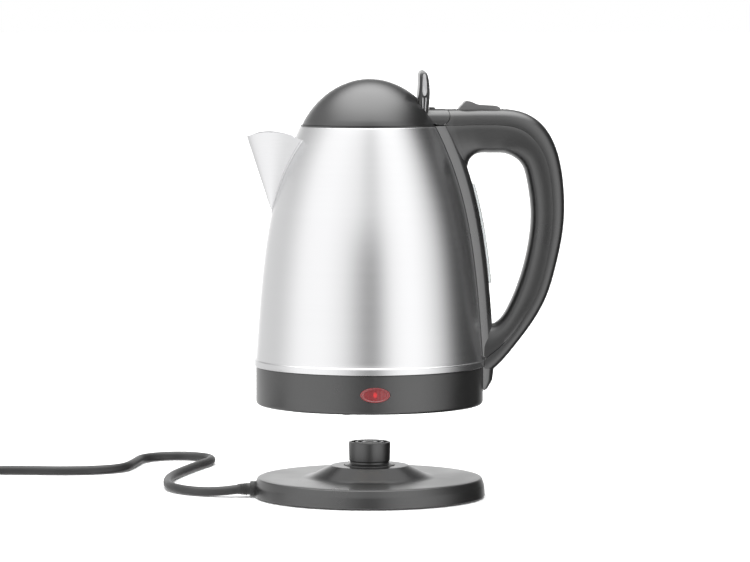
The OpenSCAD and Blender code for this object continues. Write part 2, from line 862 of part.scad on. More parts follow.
module cord_tail() {
    color([0.15, 0.15, 0.16]) loft(tube_sections(spline(tail_pts, 2), cord_d / 2, 10));
}

module on_plug() {
    translate(plug_at) rotate([90 - plug_tilt, 0, 0]) children();
}

module plug_body() {
    color([0.15, 0.15, 0.16])
        on_plug()
            difference() {
                lathe([[0, 0], [3.9, 0], [5, 20], [9, 23], [12.5, 31], [16.4, 38], [18.2, 42],
                       [18.2, 56], [17.4, 60], [0, 60]]);
                for (s = [-1, 1]) {
                    translate([s * 9.5, 0, 0]) rod(2, 52, 61);
                    translate([-3.1, s * 18 - 2.2, 44]) cube([6.2, 4.4, 20]);
                }
            }
}

module plug_pins() {
    color("silver")
        on_plug()
            for (s = [-1, 1])
                translate([s * 9.5, 0, 0]) {
                    rod(2, 52, 60);
                    rod(2.4, 60, 77.5);
                    translate([0, 0, 77.5]) cylinder(r1 = 2.4, r2 = 1.4, h = 1.5);
                }
}

module plug_earth_clips() {
    color("goldenrod")
        on_plug()
            for (s = [-1, 1]) translate([-2.6, s * 16.4 - 0.4, 44]) cube([5.2, 0.8, 15.4]);
}

vessel_shell();
vessel_floor();
heat_diffuser();
heater_element();
spout();
spout_filter();
filter_mesh();
neck_collar();
hinge_pin();
handle_outer();
handle_inner();
back_housing();
gauge_window();
gauge_seals();
steam_duct();
steam_switch();
bimetal_disc();
rocker_pin();
trip_pin();
wire_loom();
base_skirt();
underside_cover();
kettle_feet();
body_screws();
indicator_lens();
indicator_lamp();
control_block();
ring_contacts();
socket_pin();
thermal_discs();
handle_screws();
lid_dome();
lid_plate();
lid_gasket();
lid_screws();
lid_arm();
lid_tab();
switch_rocker();
trip_lever();
post_body();
post_contacts();
base_cover();
base_plate();
rubber_feet();
base_screws();
terminal_block();
base_wires();
cord_clamp();
strain_relief();
cord_run();
cord_coil();
cord_tail();
plug_body();
plug_pins();
plug_earth_clips();
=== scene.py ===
import json
import math

import bmesh
import bpy
import numpy as np
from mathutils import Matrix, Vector


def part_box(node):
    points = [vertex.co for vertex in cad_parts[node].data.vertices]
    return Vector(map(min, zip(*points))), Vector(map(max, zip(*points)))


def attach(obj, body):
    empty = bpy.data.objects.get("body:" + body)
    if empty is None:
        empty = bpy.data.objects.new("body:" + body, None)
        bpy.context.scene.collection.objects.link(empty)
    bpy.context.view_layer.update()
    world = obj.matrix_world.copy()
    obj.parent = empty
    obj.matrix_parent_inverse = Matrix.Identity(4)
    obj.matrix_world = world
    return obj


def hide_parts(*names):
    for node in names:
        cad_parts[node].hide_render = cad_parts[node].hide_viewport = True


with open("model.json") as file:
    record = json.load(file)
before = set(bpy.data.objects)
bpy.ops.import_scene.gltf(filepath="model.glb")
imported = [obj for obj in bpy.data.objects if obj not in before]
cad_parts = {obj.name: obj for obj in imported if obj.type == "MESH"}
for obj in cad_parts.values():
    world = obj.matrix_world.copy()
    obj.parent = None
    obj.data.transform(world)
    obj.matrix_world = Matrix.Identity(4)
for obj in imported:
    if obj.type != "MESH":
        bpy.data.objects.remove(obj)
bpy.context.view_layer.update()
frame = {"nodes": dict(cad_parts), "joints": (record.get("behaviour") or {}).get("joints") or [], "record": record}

# Lengths in this script are millimetres; meshes are scaled to metres as they are made.
MM = 0.001
FINE = 256          # segments of the large turned pieces
ON_AXIS = 1e-6      # a smaller radius counts as a point on the axis


def node_box(node):
    """Lowest and highest corner of a CAD node, in millimetres."""
    low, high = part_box(node)
    return [v / MM for v in low], [v / MM for v in high]


# ---------------- sizes, from the frame

skirt_low, skirt_high = node_box("base_skirt")
wall_high = node_box("vessel_shell")[1]
cover_high = node_box("base_cover")[1]
post_high = node_box("post_body")[1]

SKIRT_R = skirt_high[1]
COVER_Z = skirt_low[2]              # underside of the jug
SKIRT_TOP = skirt_high[2]
BEAD_R = wall_high[1]
BODY_R = BEAD_R - 1.1               # steel wall just above its bead
BEAD_TOP = SKIRT_TOP + 5.8
NECK_Z = wall_high[2]
NECK_R = 45.7
STEEL = 0.8                         # thickness of the sheet
BASE_R = cover_high[1]
LID_R = 44.2
RIM_Z = NECK_Z + 1.8                # underside of the dome's rim
LID_APEX = 276.4
LID_RISE = LID_APEX - RIM_Z
POST_TOP = post_high[2]
HINGE = [v / MM for v in next(j for j in frame["joints"] if j["name"] == "lid_hinge")["pos_m"]]
ARM_TOP = 256.8
ARM_HALF = 14.6
NOTCH_FLOOR = 249.4                 # floor of the dome's cut-out behind the tab
PROUD = 7.6                         # how far the back housing stands off the wall


def body_out(z):
    """Radius of the steel wall's outside at height z."""
    rise = (z - BEAD_TOP) / (NECK_Z - BEAD_TOP)
    return BODY_R - (BODY_R - NECK_R) * (0.36 * rise + 0.64 * max(rise, 0.0) ** 3.4)


# ---------------- geometry helpers

def spline(points, steps):
    """Smooth curve (continuous curvature) through given points."""
    p = np.array(points, float)
    count = len(p)
    knots = np.concatenate([[0], np.cumsum(np.linalg.norm(np.diff(p, axis=0), axis=1))])
    h = np.diff(knots)
    a = np.eye(count)
    b = np.zeros_like(p)
    for i in range(1, count - 1):
        a[i, i - 1:i + 2] = h[i - 1], 2 * (h[i - 1] + h[i]), h[i]
        b[i] = 6 * ((p[i + 1] - p[i]) / h[i] - (p[i] - p[i - 1]) / h[i - 1])
    m = np.linalg.solve(a, b)
    out = []
    for i in range(count - 1):
        slope = (p[i + 1] - p[i]) / h[i] - h[i] * (2 * m[i] + m[i + 1]) / 6
        for k in range(steps):
            u = h[i] * k / steps
            out.append(p[i] + slope * u + m[i] / 2 * u * u
                       + (m[i + 1] - m[i]) / (6 * h[i]) * u ** 3)
    out.append(p[-1])
    return np.array(out)


def rounded(points, steps=6, closed=False):
    """An outline whose corners [x, z, r] are arcs of radius r; [x, z] stays sharp."""
    out = []
    count = len(points)
    for i, corner in enumerate(points):
        here = Vector(corner[:2])
        at_end = not closed and i in (0, count - 1)
        if len(corner) < 3 or at_end:
            out.append(tuple(here))
            continue
        before = Vector(points[i - 1][:2]) - here
        after = Vector(points[(i + 1) % count][:2]) - here
        a, b = before.normalized(), after.normalized()
        half = a.angle(b) / 2
        radius = min(corner[2], 0.49 * min(before.length, after.length) * math.tan(half))
        start, end = here + a * radius / math.tan(half), here + b * radius / math.tan(half)
        centre = here + (a + b).normalized() * radius / math.sin(half)
        first = math.atan2(*(start - centre).yx)
        turn = math.atan2(*(end - centre).yx) - first
        turn = (turn + math.pi) % (2 * math.pi) - math.pi
        for k in range(steps + 1):
            angle = first + turn * k / steps
            out.append((centre.x + radius * math.cos(angle), centre.y + radius * math.sin(angle)))
    return out


def box(low, high):
    """Corners of an upright rectangle."""
    return [(low[0], low[1]), (high[0], low[1]), (high[0], high[1]), (low[0], high[1])]


def soft(outline, radius, steps):
    """A closed outline with every corner rounded."""
    return rounded([(*p, radius) for p in outline], steps, closed=True)


def angles(steps):
    return [2 * math.pi * k / steps for k in range(steps)]


def make_mesh(name, verts, faces, sharp=35):
    mesh = bpy.data.meshes.new(name)
    mesh.from_pydata([Vector(v) * MM for v in verts], [], faces)
    bm = bmesh.new()
    bm.from_mesh(mesh)
    bmesh.ops.remove_doubles(bm, verts=bm.verts, dist=1e-7)
    bmesh.ops.recalc_face_normals(bm, faces=bm.faces)
    bm.to_mesh(mesh)
    bm.free()
    obj = bpy.data.objects.new(name, mesh)
    bpy.context.scene.collection.objects.link(obj)
    smooth(obj, sharp)
    return obj


def smooth(obj, sharp=35):
    obj.data.shade_smooth()
    obj.data.set_sharp_from_angle(angle=math.radians(sharp))


def lathe(name, profile, segments=FINE, sharp=35, closed=True):
    """A profile of (radius, z) points turned about the Z axis."""
    count = len(profile)
    verts = [(r * math.cos(a), r * math.sin(a), z) for a in angles(segments) for r, z in profile]
    faces = []
    for k in range(segments):
        a, b = k * count, (k + 1) % segments * count
        for i in range(count if closed else count - 1):
            j = (i + 1) % count
            ring = [a + i, b + i, b + j, a + j]
            if profile[i][0] < ON_AXIS:
                ring = [a + i, b + j, a + j]
            if profile[j][0] < ON_AXIS:
                ring = [a + i, b + i, a + j]
            if max(profile[i][0], profile[j][0]) > ON_AXIS:
                faces.append(ring)
    return make_mesh(name, verts, faces, sharp)


def loft(name, sections, sharp=35, caps=True):
    """A skin through sections that have the same number of points."""
    count = len(sections[0])
    verts = [tuple(p) for s in sections for p in s]
    faces = []
    for i in range(len(sections) - 1):
        for k in range(count):
            a, b = i * count + k, i * count + (k + 1) % count
            faces.append([a, b, b + count, a + count])
    if caps:
        faces.append(list(range(count))[::-1])
        faces.append([(len(sections) - 1) * count + k for k in range(count)])
    return make_mesh(name, verts, faces, sharp)


def prism(name, outline, low, high, axis):
    """An outline extruded along Y (outline in X, Z), X (outline in Y, Z) or Z (outline in X, Y)."""
    place = {"y": lambda p, v: (p[0], v, p[1]), "x": lambda p, v: (v, p[0], p[1]),
             "z": lambda p, v: (p[0], p[1], v)}[axis]
    return loft(name, [[place(p, low) for p in outline], [place(p, high) for p in outline]])


def apply_modifiers(obj):
    graph = bpy.context.evaluated_depsgraph_get()
    mesh = bpy.data.meshes.new_from_object(obj.evaluated_get(graph))
    obj.modifiers.clear()
    obj.data = mesh


def use_up(others, obj, sharp):
    for other in others:
        bpy.data.objects.remove(other)
    smooth(obj, sharp)
    return obj


def combine(obj, others, operation, sharp=35):
    """Boolean of obj with others, which are used up."""
    for other in others:
        mod = obj.modifiers.new("combine", "BOOLEAN")
        mod.operation = operation
        mod.solver = "EXACT"
        mod.object = other
    apply_modifiers(obj)
    return use_up(others, obj, sharp)


def join(obj, others):
    """Put the meshes of others into obj without cutting them, and use them up."""
    bm = bmesh.new()
    for each in (obj, *others):
        bm.from_mesh(each.data)
    bm.to_mesh(obj.data)
    bm.free()
    return use_up(others, obj, 50)


def bevel(obj, width, segments=3, angle=40):
    mod = obj.modifiers.new("bevel", "BEVEL")
    mod.width = width * MM
    mod.segments = segments
    mod.limit_method = "ANGLE"
    mod.angle_limit = math.radians(angle)
    mod.harden_normals = False
    apply_modifiers(obj)
    smooth(obj, 40)
    return obj


def rod(name, start, end, radius, segments=48, chamfer=0.0):
    """A round bar between two points, with chamfered ends."""
    start, end = Vector(start), Vector(end)
    turn = (end - start).to_track_quat("Z", "Y")
    length = (end - start).length
    stations = [(radius - chamfer, 0), (radius, chamfer), (radius, length - chamfer),
                (radius - chamfer, length)]
    return loft(name, [[start + turn @ Vector((r * math.cos(a), r * math.sin(a), z))
                        for a in angles(segments)] for r, z in stations])


def hinge_bar(half, radius, segments=48, chamfer=0.0, name="cut"):
    """A round bar on the axis of the lid hinge."""
    x, _, z = HINGE
    return rod(name, (x, -half, z), (x, half, z), radius, segments, chamfer)


def superellipse(half, power, steps):
    """Half of a superellipse: (y, t) from one side round the closed end (t = 0) to the other."""
    out = []
    for k in range(steps + 1):
        a = math.pi * k / steps
        c, s = math.cos(a), math.sin(a)
        out.append((math.copysign(half * abs(c) ** (2 / power), c), 1 - s ** (2 / power)))
    return out


# ---------------- materials

class Graph:
    """Builds a node tree. A socket takes a value, or the output of another node."""

    def __init__(self, tree):
        self.tree = tree

    def feed(self, node, sockets):
        for key, value in sockets.items():
            if isinstance(value, bpy.types.NodeSocket):
                self.tree.links.new(value, node.inputs[key])
            else:
                node.inputs[key].default_value = value

    def add(self, kind, sockets=None, **settings):
        node = self.tree.nodes.new(kind)
        for key, value in settings.items():
            setattr(node, key, value)
        self.feed(node, sockets or {})
        return node

    def ramp(self, fac, stops):
        ramp = self.add("ShaderNodeValToRGB", {"Fac": fac})
        elements = ramp.color_ramp.elements
        while len(elements) < len(stops):
            elements.new(0.5)
        for element, (place, colour) in zip(elements, stops):
            element.position = place
            element.color = (*colour, 1)
        return ramp.outputs["Color"]


class Nodes(Graph):
    """One material's node tree, built round its Principled BSDF."""

    def __init__(self, name):
        self.mat = bpy.data.materials.new(name)
        self.mat.use_nodes = True
        super().__init__(self.mat.node_tree)
        self.bsdf = self.tree.nodes["Principled BSDF"]

    def set(self, **sockets):
        """Inputs of the BSDF, with _ for each space in a name."""
        self.feed(self.bsdf, {key.replace("_", " "): value for key, value in sockets.items()})

    def noise(self, scale, stretch=(1, 1, 1), detail=3.0, rough=0.5):
        coord = self.add("ShaderNodeTexCoord")
        place = self.add("ShaderNodeMapping", {"Scale": stretch, "Vector": coord.outputs["Object"]})
        return self.add("ShaderNodeTexNoise", {
            "Scale": scale, "Detail": detail, "Roughness": rough,
            "Vector": place.outputs["Vector"]}).outputs["Fac"]

    def between(self, fac, low, high, inputs=(0.3, 0.7)):
        return self.add("ShaderNodeMapRange", {
            "From Min": inputs[0], "From Max": inputs[1], "To Min": low, "To Max": high,
            "Value": fac}).outputs["Result"]

    def bump(self, height, strength, distance=0.0002):
        self.set(Normal=self.add("ShaderNodeBump", {
            "Strength": strength, "Distance": distance, "Height": height}).outputs["Normal"])


def grey(value):
    return (value, value, value * 1.01)


def brushed(name, tone, rough, stretch=(9, 9, 3200), aniso=0.65, bump=0.004):
    """Sheet steel with fine parallel brush lines; the lines run round the Z axis."""
    n = Nodes(name)
    lines = n.noise(1.0, stretch, 4.0, 0.6)
    cloud = n.noise(18.0, (1, 1, 2.5), 2.0)
    mixed = n.add("ShaderNodeMath", {0: cloud, 1: 0.25, 2: lines}, operation="MULTIPLY_ADD")
    tangent = n.add("ShaderNodeTangent", direction_type="RADIAL", axis="Z")
    n.set(Base_Color=n.ramp(lines, [(0.25, grey(tone * 0.975)), (0.75, grey(tone * 1.02))]),
          Roughness=n.between(mixed.outputs[0], *rough, inputs=(0.35, 0.9)),
          Tangent=tangent.outputs["Tangent"], Metallic=1.0, Anisotropic=aniso)
    n.bump(lines, bump, 0.00005)
    return n.mat


def moulded(name, tone, rough, colour=None, ior=1.5):
    """Moulded plastic: fine grain, slight unevenness of gloss and lightly worn edges."""
    n = Nodes(name)
    colour = colour or grey(tone)
    fine = n.noise(2600.0, detail=2.0)
    broad = n.noise(26.0)
    lighter = tuple(min(1.0, c * 1.3 + 0.004) for c in colour)
    darker = tuple(c * 0.88 for c in colour)
    edge = n.add("ShaderNodeNewGeometry").outputs["Pointiness"]
    rub = n.ramp(edge, [(0.5, (0, 0, 0)), (0.62, (1, 1, 1))])
    mix = n.add("ShaderNodeMix", {
        0: rub, 6: n.ramp(broad, [(0.3, darker), (0.7, colour)]), 7: (*lighter, 1)}, data_type="RGBA")
    n.set(Base_Color=mix.outputs[2], Roughness=n.between(broad, *rough), IOR=ior)
    n.bump(fine, 0.05, 0.00004)
    return n.mat


def metal(name, colour, rough=(0.22, 0.38)):
    """Plain cast, turned or plated metal with slight stains."""
    n = Nodes(name)
    spots = n.noise(120.0, detail=4.0)
    dark = tuple(c * 0.85 for c in colour)
    n.set(Base_Color=n.ramp(spots, [(0.3, dark), (0.7, colour)]),
          Roughness=n.between(spots, *rough), Metallic=1.0)
    n.bump(spots, 0.08, 0.00005)
    return n.mat


def soft_rubber(name, colour, rough=(0.55, 0.7), scale=900.0):
    """Rubber or soft PVC with a little dust in its grain."""
    n = Nodes(name)
    dust = n.noise(scale)
    lighter = tuple(min(1.0, c * 1.25 + 0.004) for c in colour)
    n.set(Base_Color=n.ramp(n.noise(40.0), [(0.3, colour), (0.75, lighter)]),
          Roughness=n.between(dust, *rough), IOR=1.45)
    n.bump(dust, 0.12, 0.00005)
    return n.mat


def clear_window(name):
    """Clear acrylic, a little smoky, so that its edges show."""
    n = Nodes(name)
    haze = n.noise(60.0, detail=2.0)
    n.set(Base_Color=n.ramp(haze, [(0.3, (0.36, 0.38, 0.385)), (0.7, (0.44, 0.46, 0.46))]),
          Roughness=n.between(haze, 0.03, 0.1), IOR=1.49, Transmission_Weight=0.95)
    return n.mat


def lens_material(name):
    """Translucent red lens with moulded ribs, and a painted glow: a small spot painted brighter red where the lamp
    sits.
    """
    n = Nodes(name)
    place = n.add("ShaderNodeTexCoord").outputs["Object"]
    from_lamp = n.add("ShaderNodeMapping", {"Vector": place, "Location": (0, 0, -LENS_Z * MM)})
    split = n.add("ShaderNodeSeparateXYZ", {"Vector": from_lamp.outputs["Vector"]})
    across, up = (
        n.add("ShaderNodeMath", {0: split.outputs[axis], 1: 1 / (half * MM)}, operation="MULTIPLY")
        for axis, half in (("X", 1.5), ("Z", 2.1)))
    flat = n.add("ShaderNodeCombineXYZ", {"X": across.outputs[0], "Y": up.outputs[0]})
    reach = n.add("ShaderNodeVectorMath", {0: flat.outputs["Vector"]}, operation="LENGTH")
    # painted glow: bright red at the lamp's place, falling within about 2 mm to the lens's own dark red
    colour = n.ramp(reach.outputs["Value"], [
        (0.0, (0.62, 0.03, 0.035)), (0.75, (0.5, 0.025, 0.03)),
        (1.0, (0.2, 0.018, 0.02)), (1.0, (0.2, 0.02, 0.024))])
    n.set(Base_Color=colour, Roughness=n.between(n.noise(90.0), 0.12, 0.2),
          IOR=1.5, Coat_Weight=0.6, Coat_Roughness=0.06, Transmission_Weight=0.15)
    ribs = n.add("ShaderNodeTexWave", {"Scale": 130.0, "Vector": place},
                 wave_type="BANDS", bands_direction="X")
    n.bump(ribs.outputs["Fac"], 0.25)
    return n.mat


LENS_Z = COVER_Z + 12.9             # height of the pilot light's centre

MATS = {
    "brushed_steel": brushed("wall_steel", 0.63, (0.22, 0.26)),
    "bright_steel": brushed("spout_steel", 0.68, (0.4, 0.46), (90, 90, 900), 0.2, 0.01),
    "inner_steel": brushed("inner_steel", 0.55, (0.26, 0.36), (400, 14, 14), 0.4),
    "charcoal_plastic": moulded("charcoal_plastic", 0.009, (0.27, 0.33), ior=1.8),
    "black_plastic": moulded("black_plastic", 0.008, (0.28, 0.36), ior=1.8),
    "grey_plastic": moulded("grey_plastic", 0.32, (0.4, 0.5)),
    "ivory_plastic": moulded("ivory_plastic", 0.6, (0.5, 0.6), colour=(0.66, 0.6, 0.47)),
    "clear_window": clear_window("clear_window"),
    "red_lens": lens_material("red_lens"),
    "neon_lamp": moulded("neon_lamp", 0.5, (0.1, 0.2), colour=(0.8, 0.22, 0.1)),
    "silicone": soft_rubber("silicone", (0.05, 0.05, 0.05), (0.45, 0.6)),
    "black_rubber": soft_rubber("black_rubber", (0.018, 0.018, 0.018)),
    "brass": metal("brass", (0.72, 0.5, 0.2)),
    "aluminium": metal("aluminium", (0.68, 0.68, 0.7), (0.35, 0.5)),
    "zinc_screws": metal("zinc_screws", (0.56, 0.57, 0.6), (0.25, 0.4)),
    "wire_sleeve": soft_rubber("wire_sleeve", (0.28, 0.05, 0.035)),
    "lead_pvc": soft_rubber("lead_pvc", (0.02, 0.02, 0.02), (0.38, 0.46), 500.0),
}
STRAP_PLASTIC = moulded("strap_plastic", 0.012, (0.25, 0.31), ior=2.08)
ROCKER_PLASTIC = moulded("rocker_plastic", 0.05, (0.3, 0.38), ior=2.0)


def finish_piece(obj, body, slot, stands_for=(), material=None):
    """Give a piece the material of its slot, let it ride, and hide the CAD nodes it replaces."""
    obj.data.materials.clear()
    obj.data.materials.append(material or MATS[slot])
    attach(obj, body)
    if stands_for:
        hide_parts(*stands_for)
    return obj


# ---------------- camera

def make_camera():
    """A long lens in front of the jug, a little left of it, looking slightly down."""
    distance, height, turn = 2600.0, 326.0, math.radians(2.75)
    aim_height, aim_right = 143.0, 3.6
    eye = Vector((-distance * math.sin(turn), -distance * math.cos(turn), height))
    aim = Vector((aim_right * math.cos(turn), -aim_right * math.sin(turn), aim_height))
    data = bpy.data.cameras.new("camera")
    data.lens = 189.5
    data.sensor_width = 36.0
    data.clip_end = 200.0
    camera = bpy.data.objects.new("camera", data)
    camera.location = eye * MM
    camera.rotation_euler = (aim - eye).to_track_quat("-Z", "Y").to_euler()
    bpy.context.scene.collection.objects.link(camera)
    bpy.context.scene.camera = camera


make_camera()

# ---------------- mains lead

CORD_D = 6.2
RELIEF_END = -86.0
EXIT_Z = 5.4                        # height at which the lead leaves the base
LYING = 3.2                         # height of the lead's axis where it lies on the table
COIL_AT = (-300.0, 98.0)
COIL_R = 34.0
COIL_TURNS = 1.25
COIL_STEPS = 24                     # points in one turn of the coil
LAYER = 6.25                        # rise of the turn that lies on top
PLUG_AT = (-334.0, 62.0, 4.1)
PLUG_TILT = 18.5
PIN_OFF = 9.5                       # each pin's distance from the plug's axis
LEAD_START = [(RELIEF_END, 0, EXIT_Z), (-93, 0.2, 4.5), (-101.5, 1.8, 3.7)]
LEAD_ROUTE = [
    (-111, 5.8), (-120, 12.6), (-127.6, 23), (-132.2, 37), (-133.6, 54.2), (-133, 76),
    (-128.6, 102.6), (-120.4, 131.1), (-112, 156.9), (-105.2, 176), (-103.5, 190.9),
    (-108.1, 203.6), (-119.3, 212.3), (-131.5, 213.6), (-145, 207.1), (-152.5, 196.5),
    (-155.7, 183.1), (-159.7, 162), (-167.1, 141.8), (-182, 131.2), (-198, 127.8), (-218, 129),
    (-243, 132.6), (-270, 132.6), (-286, 132.4)]
LEAD_TAIL = [(-334, 90, 8.6), (-334, 80, 6.4), (-334, 71, 4.6), PLUG_AT]


def coil_points():
    """The turns of the coil: the first lies on the table, the rest climb onto it."""
    points = []
    for k in range(round(COIL_TURNS * COIL_STEPS) + 1):
        part = k / COIL_STEPS
        angle = math.pi / 2 + 2 * math.pi * part
        climb = min(max((part - 0.55) / 0.4, 0.0), 1.0)
        points.append((COIL_AT[0] + COIL_R * math.cos(angle), COIL_AT[1] + COIL_R * math.sin(angle),
                       LYING + LAYER * climb * climb * (3 - 2 * climb)))
    return points


def make_lead():
    route = [(x, y, LYING) for x, y in LEAD_ROUTE]
    path = spline(LEAD_START + route + coil_points() + LEAD_TAIL, 8)
    data = bpy.data.curves.new("mains_lead", "CURVE")
    data.dimensions = "3D"
    line = data.splines.new("POLY")
    line.points.add(len(path) - 1)
    for point, place in zip(line.points, path):
        point.co = (*(place * MM), 1)
    data.bevel_depth = CORD_D / 2 * MM
    data.bevel_resolution = 6
    data.use_fill_caps = True
    lead = bpy.data.objects.new("mains_lead", data)
    bpy.context.scene.collection.objects.link(lead)
    finish_piece(lead, "power_base", "lead_pvc", ("cord_run", "cord_coil", "cord_tail"))
    return lead, float(np.linalg.norm(np.diff(path, axis=0), axis=1).sum()) * MM


lead, lead_length = make_lead()


def along_x(obj, x, z):
    """Turn a lathe about Z into one about a line along X at height z; its z = 0 goes to x."""
    for v in obj.data.vertices:
        px, py, pz = v.co
        v.co = (x * MM + pz, py, z * MM - px)
    return obj


def make_strain_relief():
    """Grommet with a flange outside the cover, and a tapered, ribbed tail."""
    tail = BASE_R + RELIEF_END
    profile = [(0, tail - 1.4), (3.3, tail - 1.4), (3.5, tail - 1.1), (3.5, tail + 0.2)]
    for rib in range(4):
        z, r = tail + 0.6 + rib * 1.15, 3.4 + 0.14 * rib
        profile += rounded([(r, z), (r + 0.35, z + 0.15, 0.15), (r + 0.35, z + 0.65, 0.15),
                            (r, z + 0.8)], 2)
    profile += rounded([(4.0, -2.9), (5.2, -2.6, 0.6), (5.2, 1.3, 0.4), (4.2, 1.3), (4.2, 2.6),
                        (3.2, 5), (3.2, 14.4), (0, 14.4)], 4)
    piece = lathe("strain_relief_boot", profile, 64, closed=False)
    along_x(piece, -BASE_R, EXIT_Z)
    return finish_piece(piece, "power_base", "lead_pvc", ("strain_relief",))


def on_plug(obj):
    """Stand a lathe about Z along the plug's axis."""
    tilt = math.radians(90 - PLUG_TILT)
    c, s = math.cos(tilt), math.sin(tilt)
    for v in obj.data.vertices:
        x, y, z = v.co
        v.co = Vector((x, y * c - z * s, y * s + z * c)) + Vector(PLUG_AT) * MM
    return obj


def make_plug():
    """Round moulded plug with a ribbed neck, a finger grip and two earth recesses."""
    neck = []
    for k in range(5):
        z = 1.5 + 3.4 * k
        r = 3.9 + 0.055 * z
        neck += [(r, z), (r, z + 1.6), (r - 0.55, z + 1.9), (r - 0.55, z + 3.1)]
    profile = [(0, 0), (3.7, 0), (3.9, 0.3)] + neck
    profile += rounded([(5, 19.5), (9, 23, 2.5), (12.5, 31, 5), (16.4, 38, 5), (18.2, 42, 3),
                        (18.2, 56, 2.5), (17.4, 60, 1.2), (0, 60)], 6)
    body = lathe("plug_shell", profile, 96, closed=False)
    cuts = []
    for side in (-1, 1):
        outline = soft(box((-3.1, -2.2), (3.1, 2.2)), 0.6, 3)
        cuts.append(prism("cut", [(x, y + side * 18) for x, y in outline], 44, 64, "z"))
        cuts.append(rod("cut", (side * PIN_OFF, 0, 52), (side * PIN_OFF, 0, 64), 2.45))
    combine(body, cuts, "DIFFERENCE")
    return finish_piece(on_plug(body), "power_base", "lead_pvc", ("plug_body",))


def make_plug_pins():
    """Two 4.8 mm pins with narrower roots and domed ends, as one piece."""
    pins = []
    for side in (-1, 1):
        profile = rounded([(0, 52), (2, 52), (2, 60), (2.4, 60), (2.4, 79, 2.2), (0, 79)], 8)
        pin = lathe("plug_pin", profile, 48, closed=False)
        for v in pin.data.vertices:
            v.co.x += side * PIN_OFF * MM
        pins.append(pin)
    combine(pins[0], pins[1:], "UNION")
    pins[0].name = "plug_pin_pair"
    return finish_piece(on_plug(pins[0]), "power_base", "bright_steel", ("plug_pins",))


boot = make_strain_relief()
plug_shell = make_plug()
plug_pin_pair = make_plug_pins()

# ---------------- steel jug

SPOUT_TIP = Vector((-64.5, 0, 188.5))
SPOUT_HALF = math.radians(26)
SPOUT_LEAN = math.radians(8)
SPOUT_AXIS = Vector((math.sin(SPOUT_LEAN), 0, math.cos(SPOUT_LEAN)))
SPOUT_OUT = Vector((-math.cos(SPOUT_LEAN), 0, math.sin(SPOUT_LEAN)))
SPOUT_LIP = [(-95, 232), (-82, 238.2), (-74, 240.9), (-66, 241.7), (-58, 240.8), (-49, 238.2),
             (-40, 234.6)]
SPOUT_SIDE = math.radians(70)       # direction of the spout's flat side, from its front edge
SPOUT_NOSE = 0.26                   # how blunt the front edge is
SPOUT_FLAT = 0.78                   # 0 is a round cone, 1 has quite flat sides
SPOUT_BACK = 2.4                    # the section is round again past this angle


def flatness(turn):
    """Radius of the spout's section at an angle from the front: flat sides, rounded front edge."""
    around = abs((turn + math.pi) % (2 * math.pi) - math.pi)
    blunt = min(math.hypot(around, SPOUT_NOSE), SPOUT_BACK)
    flat = math.cos(SPOUT_NOSE - SPOUT_SIDE) / math.cos(blunt - SPOUT_SIDE)
    return 1 - SPOUT_FLAT + SPOUT_FLAT * flat


def spout_point(along, turn, inset=0.0):
    """A point of the spout's cone: distance along its axis, angle from the front, inset."""
    radius = (along - inset / math.sin(SPOUT_HALF)) * math.tan(SPOUT_HALF) * flatness(turn)
    return (SPOUT_TIP + SPOUT_AXIS * along
            + (SPOUT_OUT * math.cos(turn) + Vector((0, 1, 0)) * math.sin(turn)) * radius)


def off_wall(point):
    """How far a point is outside the steel wall, measured level."""
    return math.hypot(point.x, point.y) - body_out(point.z)


def root(function, low, high):
    """Where an increasing function crosses zero."""
    for _ in range(40):
        middle = (low + high) / 2
        if function(middle) > 0:
            high = middle
        else:
            low = middle
    return (low + high) / 2


def joint_turn(along):
    """The angle at which the cone meets the wall at this distance along its axis."""
    return math.pi - root(lambda a: off_wall(spout_point(along, math.pi - a)), 0.0, math.pi)


LIP_XS, LIP_ZS = spline(SPOUT_LIP, 8).T


def over_lip(point):
    return point.z - float(np.interp(point.x, LIP_XS, LIP_ZS))


def spout_edge(share):
    """How far up the line at this share of the half width the spout reaches."""
    return root(lambda s: over_lip(spout_point(s, share * joint_turn(s))), 4.0, 62.0)


def make_spout():
    """Sheet-steel cone with its lip, and the narrow flange that seats it on the wall."""
    columns, rows = 96, 40
    start = 0.04                    # the cone begins a little above its point
    shares = [2 * k / columns for k in range(-columns // 2, columns // 2 + 1)]
    tops = [spout_edge(s) for s in shares]
    skins = []
    for inset, trim in ((0.0, 1.0), (0.9, 0.985)):
        skins.append([spout_point(part * top, share * joint_turn(part * top) * trim, inset)
                      for part in (start + (1 - start) * v / rows for v in range(rows + 1))
                      for share, top in zip(shares, tops)])
    width, size = columns + 1, (columns + 1) * (rows + 1)
    faces = []
    for v in range(rows):
        for u in range(columns):
            a = v * width + u
            faces.append([a, a + 1, a + 1 + width, a + width])
            faces.append([a + size, a + width + size, a + 1 + width + size, a + 1 + size])
    rim = [rows * width + u for u in range(width)]
    foot = list(range(width))
    sides = [[v * width + u for v in range(rows + 1)] for u in (0, columns)]
    for line in (rim, foot, *sides):
        faces += [[a, b, b + size, a + size] for a, b in zip(line, line[1:])]
    shell = make_mesh("spout_cone", skins[0] + skins[1], faces, 50)
    joint = [spout_point(s, joint_turn(s)) for s in
             [tops[-1] * (start + (1 - start) * k / 44) for k in range(45)]]
    flange = make_flange([Vector((p.x, -p.y, p.z)) for p in joint[::-1]] + joint)
    join(shell, [flange])
    return finish_piece(shell, "jug", "bright_steel", ("spout",))


